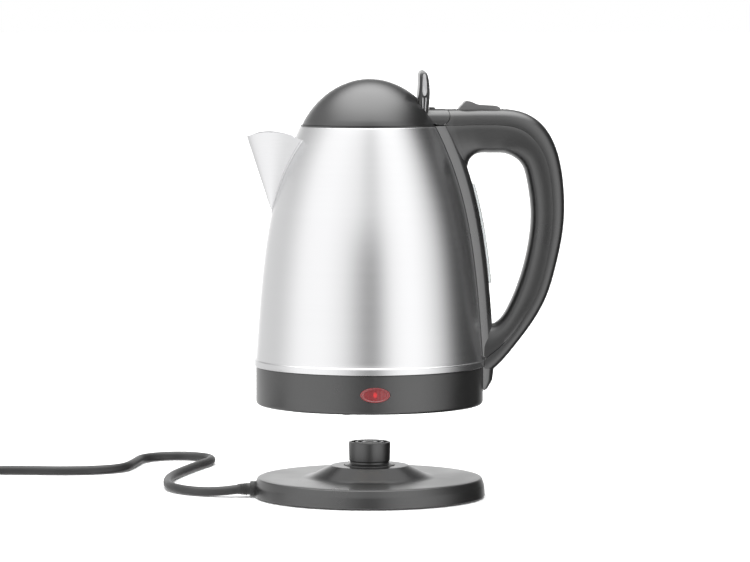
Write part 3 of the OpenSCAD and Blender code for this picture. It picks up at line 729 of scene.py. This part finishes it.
def make_flange(joint):
    """A strip on the wall's surface along the joint, outside the cone."""
    width, stand = 2.6, 0.45
    flat = [Vector((math.atan2(p.y, -p.x) * body_out(p.z), p.z)) for p in joint]
    sections = []
    for i, here in enumerate(flat):
        step = flat[min(i + 2, len(flat) - 1)] - flat[max(i - 2, 0)]
        side = Vector((step.y, -step.x)).normalized()
        if i in (0, len(flat) - 1):
            side = Vector((math.copysign(1, here.x), 0))
        outward = side if side.x * here.x >= 0 or side.y < 0 else -side
        places = []
        for reach, lift in ((-0.5, -0.2), (-0.5, stand), (width - 0.4, stand),
                            (width, stand - 0.3), (width, -0.2)):
            a, z = here + outward * reach
            radius = body_out(z) + lift
            angle = a / body_out(z)
            places.append((-radius * math.cos(angle), radius * math.sin(angle), z))
        sections.append(places)
    return loft("flange", sections, 50)


def cone_cutter(inset, top):
    """The cone's inside, as a solid that opens the wall behind the spout."""
    cone = loft("cut", [[spout_point(along, turn, inset) for turn in angles(96)]
                        for along in (inset / math.sin(SPOUT_HALF) + 0.4, 56.0)])
    return combine(cone, [prism("cut", box((-120, 150), (40, top)), -60, 60, "y")], "INTERSECT")


def make_wall():
    """Deep-drawn wall with a rolled neck and a bead that clips over the skirt."""
    heights = [BEAD_TOP + 1.2 + (NECK_Z - 1.2 - BEAD_TOP - 1.2) * k / 90 for k in range(91)]
    bead = rounded([(BODY_R - STEEL, SKIRT_TOP + 0.2), (BEAD_R, SKIRT_TOP + 0.2, 0.5),
                    (BEAD_R, BEAD_TOP - 1.7, 0.9), (BODY_R + 0.25, BEAD_TOP - 0.9, 0.6),
                    (BODY_R + 0.05, BEAD_TOP + 0.4)], 5)
    outside = bead + [(body_out(z), z) for z in heights]
    neck = rounded([(body_out(NECK_Z - 1.2), NECK_Z - 1.2), (NECK_R, NECK_Z, 0.6),
                    (NECK_R - STEEL, NECK_Z, 0.2), (body_out(NECK_Z - 1.2) - STEEL, NECK_Z - 1.2)], 5)
    inside = [(body_out(z) - STEEL, z) for z in heights[::-3]]
    wall = lathe("jug_wall", outside + neck[1:-1] + inside + [(BODY_R - STEEL, BEAD_TOP)], FINE)
    cuts = [cone_cutter(1.4, 236.0)]
    cuts += [rod("cut", (0, 0, z), (100, 0, z), 2.6) for z in (150, 202)]
    cuts.append(rod("cut", (0, 0, 238), (60, 0, 238), 2.4))
    combine(wall, cuts, "DIFFERENCE", 40)
    return finish_piece(wall, "jug", "brushed_steel", ("vessel_shell",))


make_wall()
make_spout()

# ---------------- skirt and pilot light

LENS_HALF = (9.7, 4.9)


def make_skirt():
    wall = 2.5
    profile = rounded([
        (SKIRT_R - wall, SKIRT_TOP), (SKIRT_R, SKIRT_TOP, 0.35), (SKIRT_R, COVER_Z, 5.0),
        (SKIRT_R - 5.4, COVER_Z, 0.3), (SKIRT_R - 5.4, COVER_Z + 3, 0.4),
        (SKIRT_R - wall, COVER_Z + 5.5, 1.5)], 10)
    skirt = lathe("skirt_shell", profile, FINE)
    play = 0.15
    oval = [((LENS_HALF[0] + play) * math.cos(a), (LENS_HALF[1] + play) * math.sin(a) + LENS_Z)
            for a in angles(72)]
    window = prism("cut", oval, -90, -60, "y")
    wire = rod("cut", (60, 0, 80), (90, 0, 80), 3.0)
    combine(skirt, [window, wire], "DIFFERENCE", 40)
    return finish_piece(skirt, "jug", "charcoal_plastic", ("base_skirt",))


def make_lens():
    """Oval lens that follows the skirt's curve: a raised rounded rim round a faceted field."""
    rings = [(0.0, 0.15), (0.25, 0.15), (0.5, 0.12), (0.7, 0.08), (0.8, 0.1), (0.84, 0.32),
             (0.88, 0.5), (0.93, 0.55), (0.97, 0.45), (1.0, 0.1), (1.0, -2.0), (0.8, -2.0)]
    sections = []
    for share, lift in rings:
        half = [h * max(share, 0.002) for h in LENS_HALF]
        flat = [(half[0] * math.cos(a), half[1] * math.sin(a)) for a in angles(96)]
        sections.append([(x, -math.sqrt((SKIRT_R + lift) ** 2 - x * x), LENS_Z + z)
                         for x, z in flat])
    lens = loft("pilot_lens", sections, 60)
    return finish_piece(lens, "jug", "red_lens", ("indicator_lens",))


make_skirt()
make_lens()

# ---------------- lid

def dome_z(r):
    return LID_APEX - LID_RISE * (0.8 * (r / LID_R) ** 2 + 0.2 * (r / LID_R) ** 6)


def make_dome():
    """Domed lid, cut out at the back for the hinge arm and the thumb tab."""
    plug_r, plate_z = 42.0, 241.6
    crown = [(LID_R * k / 72, dome_z(LID_R * k / 72)) for k in range(71)]
    edge = rounded([
        crown[-1], (LID_R, RIM_Z - 0.4, 0.4), (LID_R - 0.3, RIM_Z - 0.9, 0.3),
        (plug_r, RIM_Z - 0.9), (plug_r, 240, 0.4), (plug_r - 1.6, 240, 0.4),
        (plug_r - 1.6, plate_z), (0, plate_z)], 4)
    dome = lathe("lid_shell", crown[:-1] + edge, FINE, closed=False)
    corner = 1.2
    half = ARM_HALF + 0.7
    notch = prism("cut", rounded([(30.9, -half, corner), (60, -half), (60, half),
                                  (30.9, half, corner)], 6, closed=True), NOTCH_FLOOR, 290, "z")
    room = prism("cut", box((42.7, -6.6), (60, 6.6)), RIM_Z - 1, NOTCH_FLOOR + 1, "z")
    combine(dome, [notch, room], "DIFFERENCE", 35)
    return finish_piece(dome, "lid", "charcoal_plastic", ("lid_dome",))


def make_arm():
    """Hinge arm: its sides turn into its top with the handle's large radius."""
    radius = 6.0
    x, z = HINGE[0], HINGE[2]
    low = z - radius
    side = [(31.2, NOTCH_FLOOR + 0.02), (36.6, NOTCH_FLOOR + 0.02), (38.4, 248.3),
            (39.6, RIM_Z + 0.05), (LID_R, RIM_Z + 0.05), (44.7, low + 0.02)]
    side += [(x + radius * math.sin(a), z - radius * math.cos(a))
             for a in (math.radians(d) for d in range(0, 140, 4))
             if z - radius * math.cos(a) < ARM_TOP]
    side += [(x + math.sqrt(radius ** 2 - (ARM_TOP - z) ** 2), ARM_TOP), (36.4, ARM_TOP),
             (36.4, NOTCH_FLOOR + 1), (31.2, NOTCH_FLOOR + 1)]
    arm = prism("lid_hinge_arm", side, -ARM_HALF, ARM_HALF, "y")
    across = [(-y, ARM_TOP - 10.6 * t) for y, t in superellipse(ARM_HALF, 3.0, 60)]
    hull = prism("cut", across + [(ARM_HALF, 240), (-ARM_HALF, 240)], 25, 60, "x")
    gap = prism("cut", box((41, low - 2), (60, ARM_TOP + 4)), -6.3, 6.3, "y")
    combine(arm, [hull], "INTERSECT")
    combine(arm, [gap, hinge_bar(12.1, 1.56)], "DIFFERENCE")
    stop = prism("stop", rounded([
        (39.4, ARM_TOP - 1), (39.4, ARM_TOP + 0.9, 0.4), (42.8, ARM_TOP + 0.9, 0.4),
        (43.2, ARM_TOP - 1)], 4, closed=True), -6, 6, "y")
    join(arm, [bevel(stop, 0.3, 2, 60)])
    return finish_piece(arm, "lid", "charcoal_plastic", ("lid_arm",))


def make_hinge_pin():
    pin = hinge_bar(12, 1.5, chamfer=0.3, name="lid_hinge_pin")
    return finish_piece(pin, "jug", "bright_steel", ("hinge_pin",))


TAB_BACK = [(34.6, 282.4), (36.9, 280.4), (38.2, 276.4), (38.9, 270), (38.7, 262), (37.9, 255.6),
            (36.8, 250.5)]
TAB_FRONT = [(34.6, 282.4), (32.9, 280.6), (32.4, 276.5), (32.2, 271), (31.6, 262), (31.7, 256),
             (32.6, 250.5)]


def make_tab():
    """Upright thumb tab with rounded edges; its sides are framed pockets with two ribs."""
    width, top = 13.0, 282.6
    back = spline(TAB_BACK, 6)
    front = spline(TAB_FRONT, 6)
    tab = prism("lid_thumb_tab", [tuple(p) for p in (*back, *front[::-1][:-1])], -width, width, "y")
    arch = [(-width, 245), (-width, top, 5.5), (width, top, 5.5), (width, 245)]
    hull = prism("cut", rounded(arch, 10, closed=True), 20, 50, "x")
    foot = prism("cut", box((20, NOTCH_FLOOR + 1.02), (50, 290)), -20, 20, "y")
    combine(tab, [hull, foot], "INTERSECT")
    pocket = [(34.9, 280.2), (36.5, 277.6), (37.3, 270), (37.1, 262), (36.2, 252.8), (33.6, 252.8),
              (33.4, 262), (33.9, 271), (34.1, 277.6)]
    inset = [tuple(p) for p in spline(pocket + pocket[:1], 5)[:-1]]
    cuts = [prism("cut", inset, s * width - 1.6, s * width + 1.6, "y") for s in (-1, 1)]
    combine(tab, cuts, "DIFFERENCE")
    bevel(tab, 0.55, 4, 50)
    return finish_piece(tab, "lid", "charcoal_plastic", ("lid_tab",))


def make_tab_reflection_patches():
    """Light grey patches in the upper half of the tab's side pockets, and a rib in the lower half: a painted
    reflection of the soft light on the tab's sides.
    """
    upper = [(35.2, 280.6), (36.4, 278.6), (37, 273.6), (37.1, 268), (36.4, 265.4), (34.6, 265.4),
             (34.0, 268), (34.1, 273.6), (34.4, 278.6)]
    outline = soft(upper, 1.2, 3)
    ribs = [[(34.0, 264.2), (34.8, 264.2), (34.6, 253.2), (33.8, 253.2)],
            [(36.1, 264.2), (36.9, 264.2), (36.2, 253.2), (35.4, 253.2)]]
    parts = []
    # painted reflection: raised patches in light grey where the black tab's sides reflect the soft light
    for s in (-1, 1):
        parts.append(prism("reflection_patch", outline, s * 12.4 - 0.9, s * 12.4 + 0.35, "y"))
        for rib in ribs:
            parts.append(prism("reflection_patch", soft(rib, 0.3, 3), s * 12.2 - 0.9, s * 12.2 + 0.4, "y"))
    reflection_patches = join(parts[0], parts[1:])
    reflection_patches.name = "tab_reflection_patches"
    bevel(reflection_patches, 0.2, 2, 50)
    return finish_piece(reflection_patches, "lid", "grey_plastic")


make_dome()
make_arm()
make_hinge_pin()
make_tab()
make_tab_reflection_patches()

# ---------------- handle

FOOT_X = 82.8
OUTER = [(49.5, 256.5), (51.8, 256.5), (54.4, 256.6), (60.5, 256.7), (68, 256.8), (82, 256.7),
         (93, 256.1), (104, 253.2), (114.5, 245.6), (122, 233.5), (126.6, 217), (128.6, 196),
         (127.8, 177), (123.8, 156), (116.2, 131), (107.2, 115), (96.4, 100.6), (FOOT_X, 85.4),
         (75.4, 79.6)]
SEAM = [(49, 246), (51.6, 246), (54.4, 246), (60.5, 246.1), (68, 246.2), (81, 246.2), (90.5, 245.6),
        (100.2, 242.6), (108.6, 235.6), (114.6, 225.6), (118.3, 211.5), (120, 193.5), (119.3, 175.6),
        (115.8, 155.4), (109.4, 134), (101.2, 119.6), (91.4, 105.6), (FOOT_X, 97.5), (75.4, 91.8)]
INNER = [(63, 203), (64.2, 210.6), (64.5, 217.6), (66.2, 223.6), (70.8, 227), (79, 227.5),
         (88, 227.3), (95, 224.8), (100.6, 219.6), (103.6, 210.8), (105.6, 199.4), (106.5, 186),
         (105.4, 171.6), (101.8, 153.6), (96.8, 138), (91.6, 126.2), (87.2, 119), (FOOT_X, 115.2),
         (75.4, 113.6)]
GRIP_HALF = (15.0, 11.0)            # half width at the top and at the foot
GRIP_WALL = 2.2
SEAM_GAP = 0.16
SEAM_STEP = 0.18                    # how far each shell's edge draws in beside the groove
ARM_SWEEP = 6.35                    # room round the hinge axis in which the lid's arm turns


def seam_share(along):
    """The groove between the shells is open at both ends of the grip and closes between them."""
    return float(np.interp(along, [0, 0.32, 0.45, 0.82, 0.92, 1], [1, 1, 0.1, 0.1, 1, 1]))


def grip_shell(name, closed_side, power):
    """One half of the grip: a channel with a smoothly rounded closed side and a lipped edge."""
    a = spline(closed_side, 12)
    s = spline(SEAM, 12)
    last = len(a) - 1
    sections = []
    for i in range(last + 1):
        half = GRIP_HALF[0] + (GRIP_HALF[1] - GRIP_HALF[0]) * i / last
        across = s[i] - a[i]
        deep = float(np.linalg.norm(across))
        way = across / deep
        open_here = seam_share(i / last)
        edge = deep - SEAM_GAP * open_here
        outline = [(y, t * edge) for y, t in superellipse(half, power, 36)]
        outline[0] = (half - SEAM_STEP * open_here, edge)
        outline[-1] = (-half + SEAM_STEP * open_here, edge)
        outline.insert(1, (half, edge - 0.25))
        outline.insert(-1, (-half, edge - 0.25))
        tongue = edge + (1.2 if closed_side is OUTER else -1.3)
        inner = [(y, GRIP_WALL + t * (tongue - GRIP_WALL))
                 for y, t in superellipse(half - GRIP_WALL, power, 20)][::-1]
        sections.append([(a[i][0] + way[0] * u, y, a[i][1] + way[1] * u)
                         for y, u in outline + inner])
    return close_ends(loft(name, sections, 38, caps=False))


def close_ends(obj):
    """Close both ends of a channel between its outer and inner outline."""
    bm = bmesh.new()
    bm.from_mesh(obj.data)
    edges = [e for e in bm.edges if e.is_boundary]
    bmesh.ops.triangle_fill(bm, edges=edges, use_beauty=True)
    bmesh.ops.recalc_face_normals(bm, faces=bm.faces)
    bm.to_mesh(obj.data)
    bm.free()
    smooth(obj, 38)
    return obj


def make_grip():
    outer = grip_shell("handle_outer_shell", OUTER, 3.0)
    slot = prism("cut", soft(box((56.8, -8.2), (87.4, 8.2)), 1.2, 5), 252.6, 262, "z")
    combine(outer, [slot, hinge_bar(30, ARM_SWEEP, 96)], "DIFFERENCE", 38)
    finish_piece(outer, "jug", "charcoal_plastic", ("handle_outer",))
    inner = grip_shell("handle_inner_shell", INNER, 2.8)
    combine(inner, [hinge_bar(30, ARM_SWEEP, 96)], "DIFFERENCE", 38)
    finish_piece(inner, "jug", "charcoal_plastic", ("handle_inner",))


def make_rocker():
    """Rocker key: a tall front facet, a dished top and small rounded edges."""
    top = spline([(63.4, 261.7), (66.4, 261.5), (70.5, 259.8), (76, 259), (83.0, 258.6)], 6)
    side = [(58.3, 256.4), (59.4, 257.8), (62.9, 261.4)] + [tuple(p) for p in top]
    side += [(84.9, 258.1), (85.9, 256.8), (85.4, 253.4), (79, 252.6), (65, 252.6), (59, 253.4)]
    half, x, z = 7.5, 72, 251       # half width, and the place of the rocker's pin
    key = prism("rocker_key", side, -half, half, "y")
    hub = rod("cut", (x, -half, z), (x, half, z), 3.2)
    tail = prism("cut", box((70.7, 246.4), (73.3, z)), -3, 3, "y")
    combine(key, [hub, tail], "UNION")
    combine(key, [rod("cut", (x, -20, z), (x, 20, z), 1.56)], "DIFFERENCE")
    bevel(key, 0.9, 4, 50)
    return finish_piece(key, "rocker", "charcoal_plastic", ("switch_rocker",), ROCKER_PLASTIC)


make_grip()
make_rocker()

# ---------------- back housing and gauge

HALF_WIDTH_AT = [(70.6, 9.0), (74, 10.5), (130, 12.0), (200, 15.5), (226, 17.0), (246, 17.0)]
GAUGE_Z = (141.4, 207.6)
STRAP_Z = 94                        # the housing keeps one thickness above this height


def housing_half(z):
    return float(np.interp(z, *zip(*HALF_WIDTH_AT)))


def housing_reach(z):
    """Radius of the housing's outer face at height z."""
    if z < STRAP_Z:
        return float(np.interp(z, [70.6, 72.2, 77.4, SKIRT_TOP, STRAP_Z],
                               [SKIRT_R + 0.25, SKIRT_R + 2.6, SKIRT_R + 6.0, SKIRT_R + 7.4,
                                body_out(STRAP_Z) + PROUD]))
    return body_out(z) + PROUD


def housing_inside(z):
    if z < SKIRT_TOP - 0.2:
        return SKIRT_R + 0.25
    if z < BEAD_TOP + 1:
        return BEAD_R + 0.3
    return body_out(z) + 0.25


def housing_section(z):
    """Level section: leaning sides, a clear edge, and a strongly crowned outer face."""
    wide, reach, inside = housing_half(z), housing_reach(z), housing_inside(z)
    depth = reach - inside
    fall = min(3.8, 0.5 * depth)                # how far the crown falls to its edge
    lean = 0.17 * depth
    edge = Vector((reach - fall, wide - lean))
    crown = Vector((reach, wide - lean - 0.96 * fall))
    flat = Vector((reach, wide - lean - 1.8 * fall - 0.1))
    upper = [edge * (1 - u) ** 2 + crown * 2 * u * (1 - u) + flat * u * u
             for u in (k / 12 for k in range(13))]
    upper = [Vector((p.x - reach + math.sqrt(reach ** 2 - (0.55 * p.y) ** 2), p.y)) for p in upper]
    whole = [tuple(p) for p in upper] + [(reach, 0.0)] + [(p.x, -p.y) for p in upper[::-1]]
    back = [(math.sqrt(inside ** 2 - y * y), y) for y in (wide * (k / 4 - 1) for k in range(9))]
    return [(x, y, z) for x, y in whole + back]


def make_housing():
    """Strap up the back of the jug, and the saddle between the lid's arm and the grip."""
    levels = [70.9, 71.4, 72.2, 73.6, 75.2, 76.6, 77.6, 79, 81, 84, SKIRT_TOP - 0.21,
              SKIRT_TOP - 0.19, 89, BEAD_TOP + 0.99, BEAD_TOP + 1.01]
    levels += [STRAP_Z + (245.6 - STRAP_Z) * k / 110 for k in range(111)]
    housing = loft("back_strap", [housing_section(z) for z in levels], 42)
    slot = gauge_bar("cut", 5.4, 4.4, 12.0, *GAUGE_Z, corner=2.0)
    combine(housing, [slot], "DIFFERENCE", 42)
    half = ARM_HALF - 0.2
    across = [(-y, ARM_TOP - 0.6 - 10.2 * t) for y, t in superellipse(half, 3.0, 60)]
    saddle = prism("grip_saddle", across + [(half, 244.5), (-half, 244.5)], 49.8, 54.5, "x")
    neck = lathe("cut", [(0, 240), (NECK_R + 1, 240), (NECK_R + 1, 262), (0, 262)], 96)
    combine(saddle, [hinge_bar(30, ARM_SWEEP, 96), neck], "DIFFERENCE", 38)
    finish_piece(saddle, "jug", "charcoal_plastic")
    return finish_piece(housing, "jug", "charcoal_plastic", ("back_housing",), STRAP_PLASTIC)


def gauge_bar(name, half, low, high, z0, z1, corner=0.8):
    """A bar that follows the wall from low to high off it, with rounded long edges."""
    sections = []
    for k in range(41):
        z = z0 + (z1 - z0) * k / 40
        base = body_out(z)
        outline = rounded([(base + low, -half), (base + high, -half, corner),
                           (base + high, half, corner), (base + low, half)], 5, closed=True)
        sections.append([(x, y, z) for x, y in outline])
    return loft(name, sections, 38)


def make_gauge():
    """Clear water gauge that stands proud of the housing, with printed level marks."""
    low_z, high_z = GAUGE_Z[0] + 0.2, GAUGE_Z[1] - 0.2
    face = 9.3                      # how far the window's face stands off the wall
    window = gauge_bar("water_gauge", 5.1, 7.0, face, low_z, high_z)
    bevel(window, 0.5, 3, 50)
    finish_piece(window, "jug", "clear_window", ("gauge_window",))
    tube = gauge_bar("gauge_backing", 5.2, 4.4, 6.6, low_z, high_z)
    finish_piece(tube, "jug", "grey_plastic")
    marks = []
    for k in range(9):
        z = 147 + 6.9 * k
        long = 3.4 if k % 4 == 0 else 1.9
        radius = body_out(z) + face
        marks.append(prism("level_mark", box((radius - 0.3, z - 0.35), (radius + 0.12, z + 0.35)),
                           -4.6, -4.6 + long, "y"))
    combine(marks[0], marks[1:], "UNION")
    marks[0].name = "gauge_marks"
    bevel(marks[0], 0.08, 2, 50)
    finish_piece(marks[0], "jug", "black_plastic")


make_housing()
make_gauge()

# ---------------- power base

def make_base_cover():
    """Low disc with a soft rim edge and a raised cone that seats the jug."""
    wall, top, hole = 2.0, 13.2, 16.8
    profile = rounded([
        (BASE_R - 2.4, 1.2), (BASE_R, 1.2, 0.3), (BASE_R - 0.5, 8, 6),
        (BASE_R - 2.2, top - 0.2, 1.6), (BASE_R - 6, top, 2), (41, top, 16), (25.4, 21, 2.6),
        (hole, 21, 0.5), (hole, 19), (24.4, 19), (38, top - wall), (BASE_R - 5, top - wall),
        (BASE_R - 2.4, 4)], 10)
    cover = lathe("base_shell", profile, FINE, 40)
    combine(cover, [rod("cut", (-BASE_R - 1, 0, EXIT_Z), (-BASE_R + 6, 0, EXIT_Z), 4.4)],
            "DIFFERENCE", 40)
    return finish_piece(cover, "power_base", "charcoal_plastic", ("base_cover",))


def make_post():
    """Connector post: a round sleeve with two deep ring slots, a centre socket and a foot ring."""
    slot, foot, r = POST_TOP - 12.5, 10.4, 13.85
    profile = rounded([
        (2.7, foot), (2.7, POST_TOP, 0.5), (5.3, POST_TOP, 0.4), (5.3, slot), (7.7, slot),
        (7.7, POST_TOP, 0.35), (9.4, POST_TOP, 0.35), (9.4, slot), (12, slot),
        (12, POST_TOP, 0.35), (r, POST_TOP, 0.8), (r - 0.25, 24.2, 0.4), (r - 0.9, 23.6, 0.3),
        (r - 0.9, 22.5, 0.3), (r + 0.2, 21.8, 0.4), (16.4, 21.3, 0.4), (16.4, 17.6), (r - 0.4, 16.8),
        (r - 0.4, foot)], 5, closed=True)
    post = lathe("connector_post", profile, 192, 40)
    return finish_piece(post, "connector", "black_plastic", ("post_body",))


make_base_cover()
make_post()

# ---------------- CAD nodes that are shown

for entry in frame["record"]["subparts"]:
    node = frame["nodes"][entry["node"]]
    if not node.hide_render:
        node.data.materials.clear()
        node.data.materials.append(MATS[entry["material_slot"]])

# ---------------- floor and light

def make_floor():
    reach = 40000.0
    corners = [(*p, 0) for p in box((-reach, -reach), (reach, reach))]
    floor = make_mesh("floor", corners, [[0, 1, 2, 3]])
    n = Nodes("floor_paint")
    n.set(Base_Color=n.ramp(n.noise(3.0), [(0.3, (0.9, 0.9, 0.9)), (0.7, (0.92, 0.92, 0.92))]),
          Roughness=0.9, Specular_IOR_Level=0.0)
    floor.data.materials.append(n.mat)
    floor.visible_glossy = False


# The studio's walls: direction in degrees, brightness near the horizon, brightness above it
STUDIO = [(-180, 1.25, 0.24), (-168, 1.05, 0.24), (-156, 0.68, 0.28), (-110, 0.62, 0.6),
          (-95, 0.78, 0.78), (-80, 1.02, 1.02), (-50, 1.04, 1.04), (-30, 0.9, 0.96),
          (-15, 0.52, 0.88), (-5, 0.24, 0.6), (4, 0.24, 0.6), (12, 0.68, 0.9), (21, 1.02, 1.04),
          (35, 1.1, 1.1), (48, 1.1, 1.1), (60, 0.95, 0.92), (72, 0.74, 0.64), (82, 0.46, 0.34),
          (91, 0.16, 0.12), (101, 0.04, 0.04), (145, 0.04, 0.04), (162, 0.7, 0.2), (180, 1.25, 0.24)]
CEILING = 2.85
CEILING_LEAN = math.radians(7)      # how far the ceiling light's centre leans to the back
WALL_RISE = (0.15, 0.38)            # height of a direction where the walls' upper tone takes over
CEILING_EDGE = (0.66, 0.97)         # closeness to the ceiling's centre where its light sets in
STUDIO_STRENGTH = 1.5


def make_world():
    """Soft studio: wide light walls at both sides, a lit ceiling and a dark flag; white behind."""
    world = bpy.data.worlds.new("studio")
    world.use_nodes = True
    bpy.context.scene.world = world
    world.node_tree.nodes.clear()
    g = Graph(world.node_tree)
    ray = g.add("ShaderNodeTexCoord").outputs["Generated"]
    split = g.add("ShaderNodeSeparateXYZ", {"Vector": ray})
    back = g.add("ShaderNodeMath", {0: split.outputs["Y"], 1: -1}, operation="MULTIPLY")
    angle = g.add("ShaderNodeMath", {0: split.outputs["X"], 1: back.outputs[0]}, operation="ARCTAN2")
    share = g.add("ShaderNodeMapRange", {
        "From Min": -math.pi, "From Max": math.pi, "Value": angle.outputs[0]}).outputs["Result"]
    low, high = (g.ramp(share, [(row[0] / 360 + 0.5, (row[column],) * 3) for row in STUDIO])
                 for column in (1, 2))
    overhead = g.add("ShaderNodeVectorMath", {
        0: ray, 1: (0, math.sin(CEILING_LEAN), math.cos(CEILING_LEAN))}, operation="DOT_PRODUCT")

    def above(height, span, below, top):
        rise = g.add("ShaderNodeMapRange", {
            "From Min": span[0], "From Max": span[1], "Value": height},
            interpolation_type="SMOOTHSTEP")
        return g.add("ShaderNodeMix", {0: rise.outputs["Result"], 6: below, 7: top},
                     data_type="RGBA").outputs[2]

    walls = above(split.outputs["Z"], WALL_RISE, low, high)
    room = above(overhead.outputs["Value"], CEILING_EDGE, walls, (CEILING, CEILING, CEILING, 1))
    light = g.add("ShaderNodeBackground", {"Strength": STUDIO_STRENGTH, "Color": room})
    white = g.add("ShaderNodeBackground", {"Color": (1, 1, 1, 1)})
    seen = g.add("ShaderNodeLightPath").outputs["Is Camera Ray"]
    choose = g.add("ShaderNodeMixShader", {0: seen, 1: light.outputs[0], 2: white.outputs[0]})
    g.add("ShaderNodeOutputWorld", {"Surface": choose.outputs[0]})


def make_gap_light():
    """A soft lamp in the gap below the jug, so that the cone of the power base is lit."""
    data = bpy.data.lights.new("gap_light", "AREA")
    data.shape = "DISK"
    data.size = 0.12
    data.energy = 0.03
    lamp = bpy.data.objects.new("gap_light", data)
    lamp.location = (0, -0.02, (COVER_Z - 3) * MM)
    lamp.visible_camera = False
    bpy.context.scene.collection.objects.link(lamp)


make_floor()
make_gap_light()
make_world()
bpy.context.scene.view_settings.view_transform = "Standard"
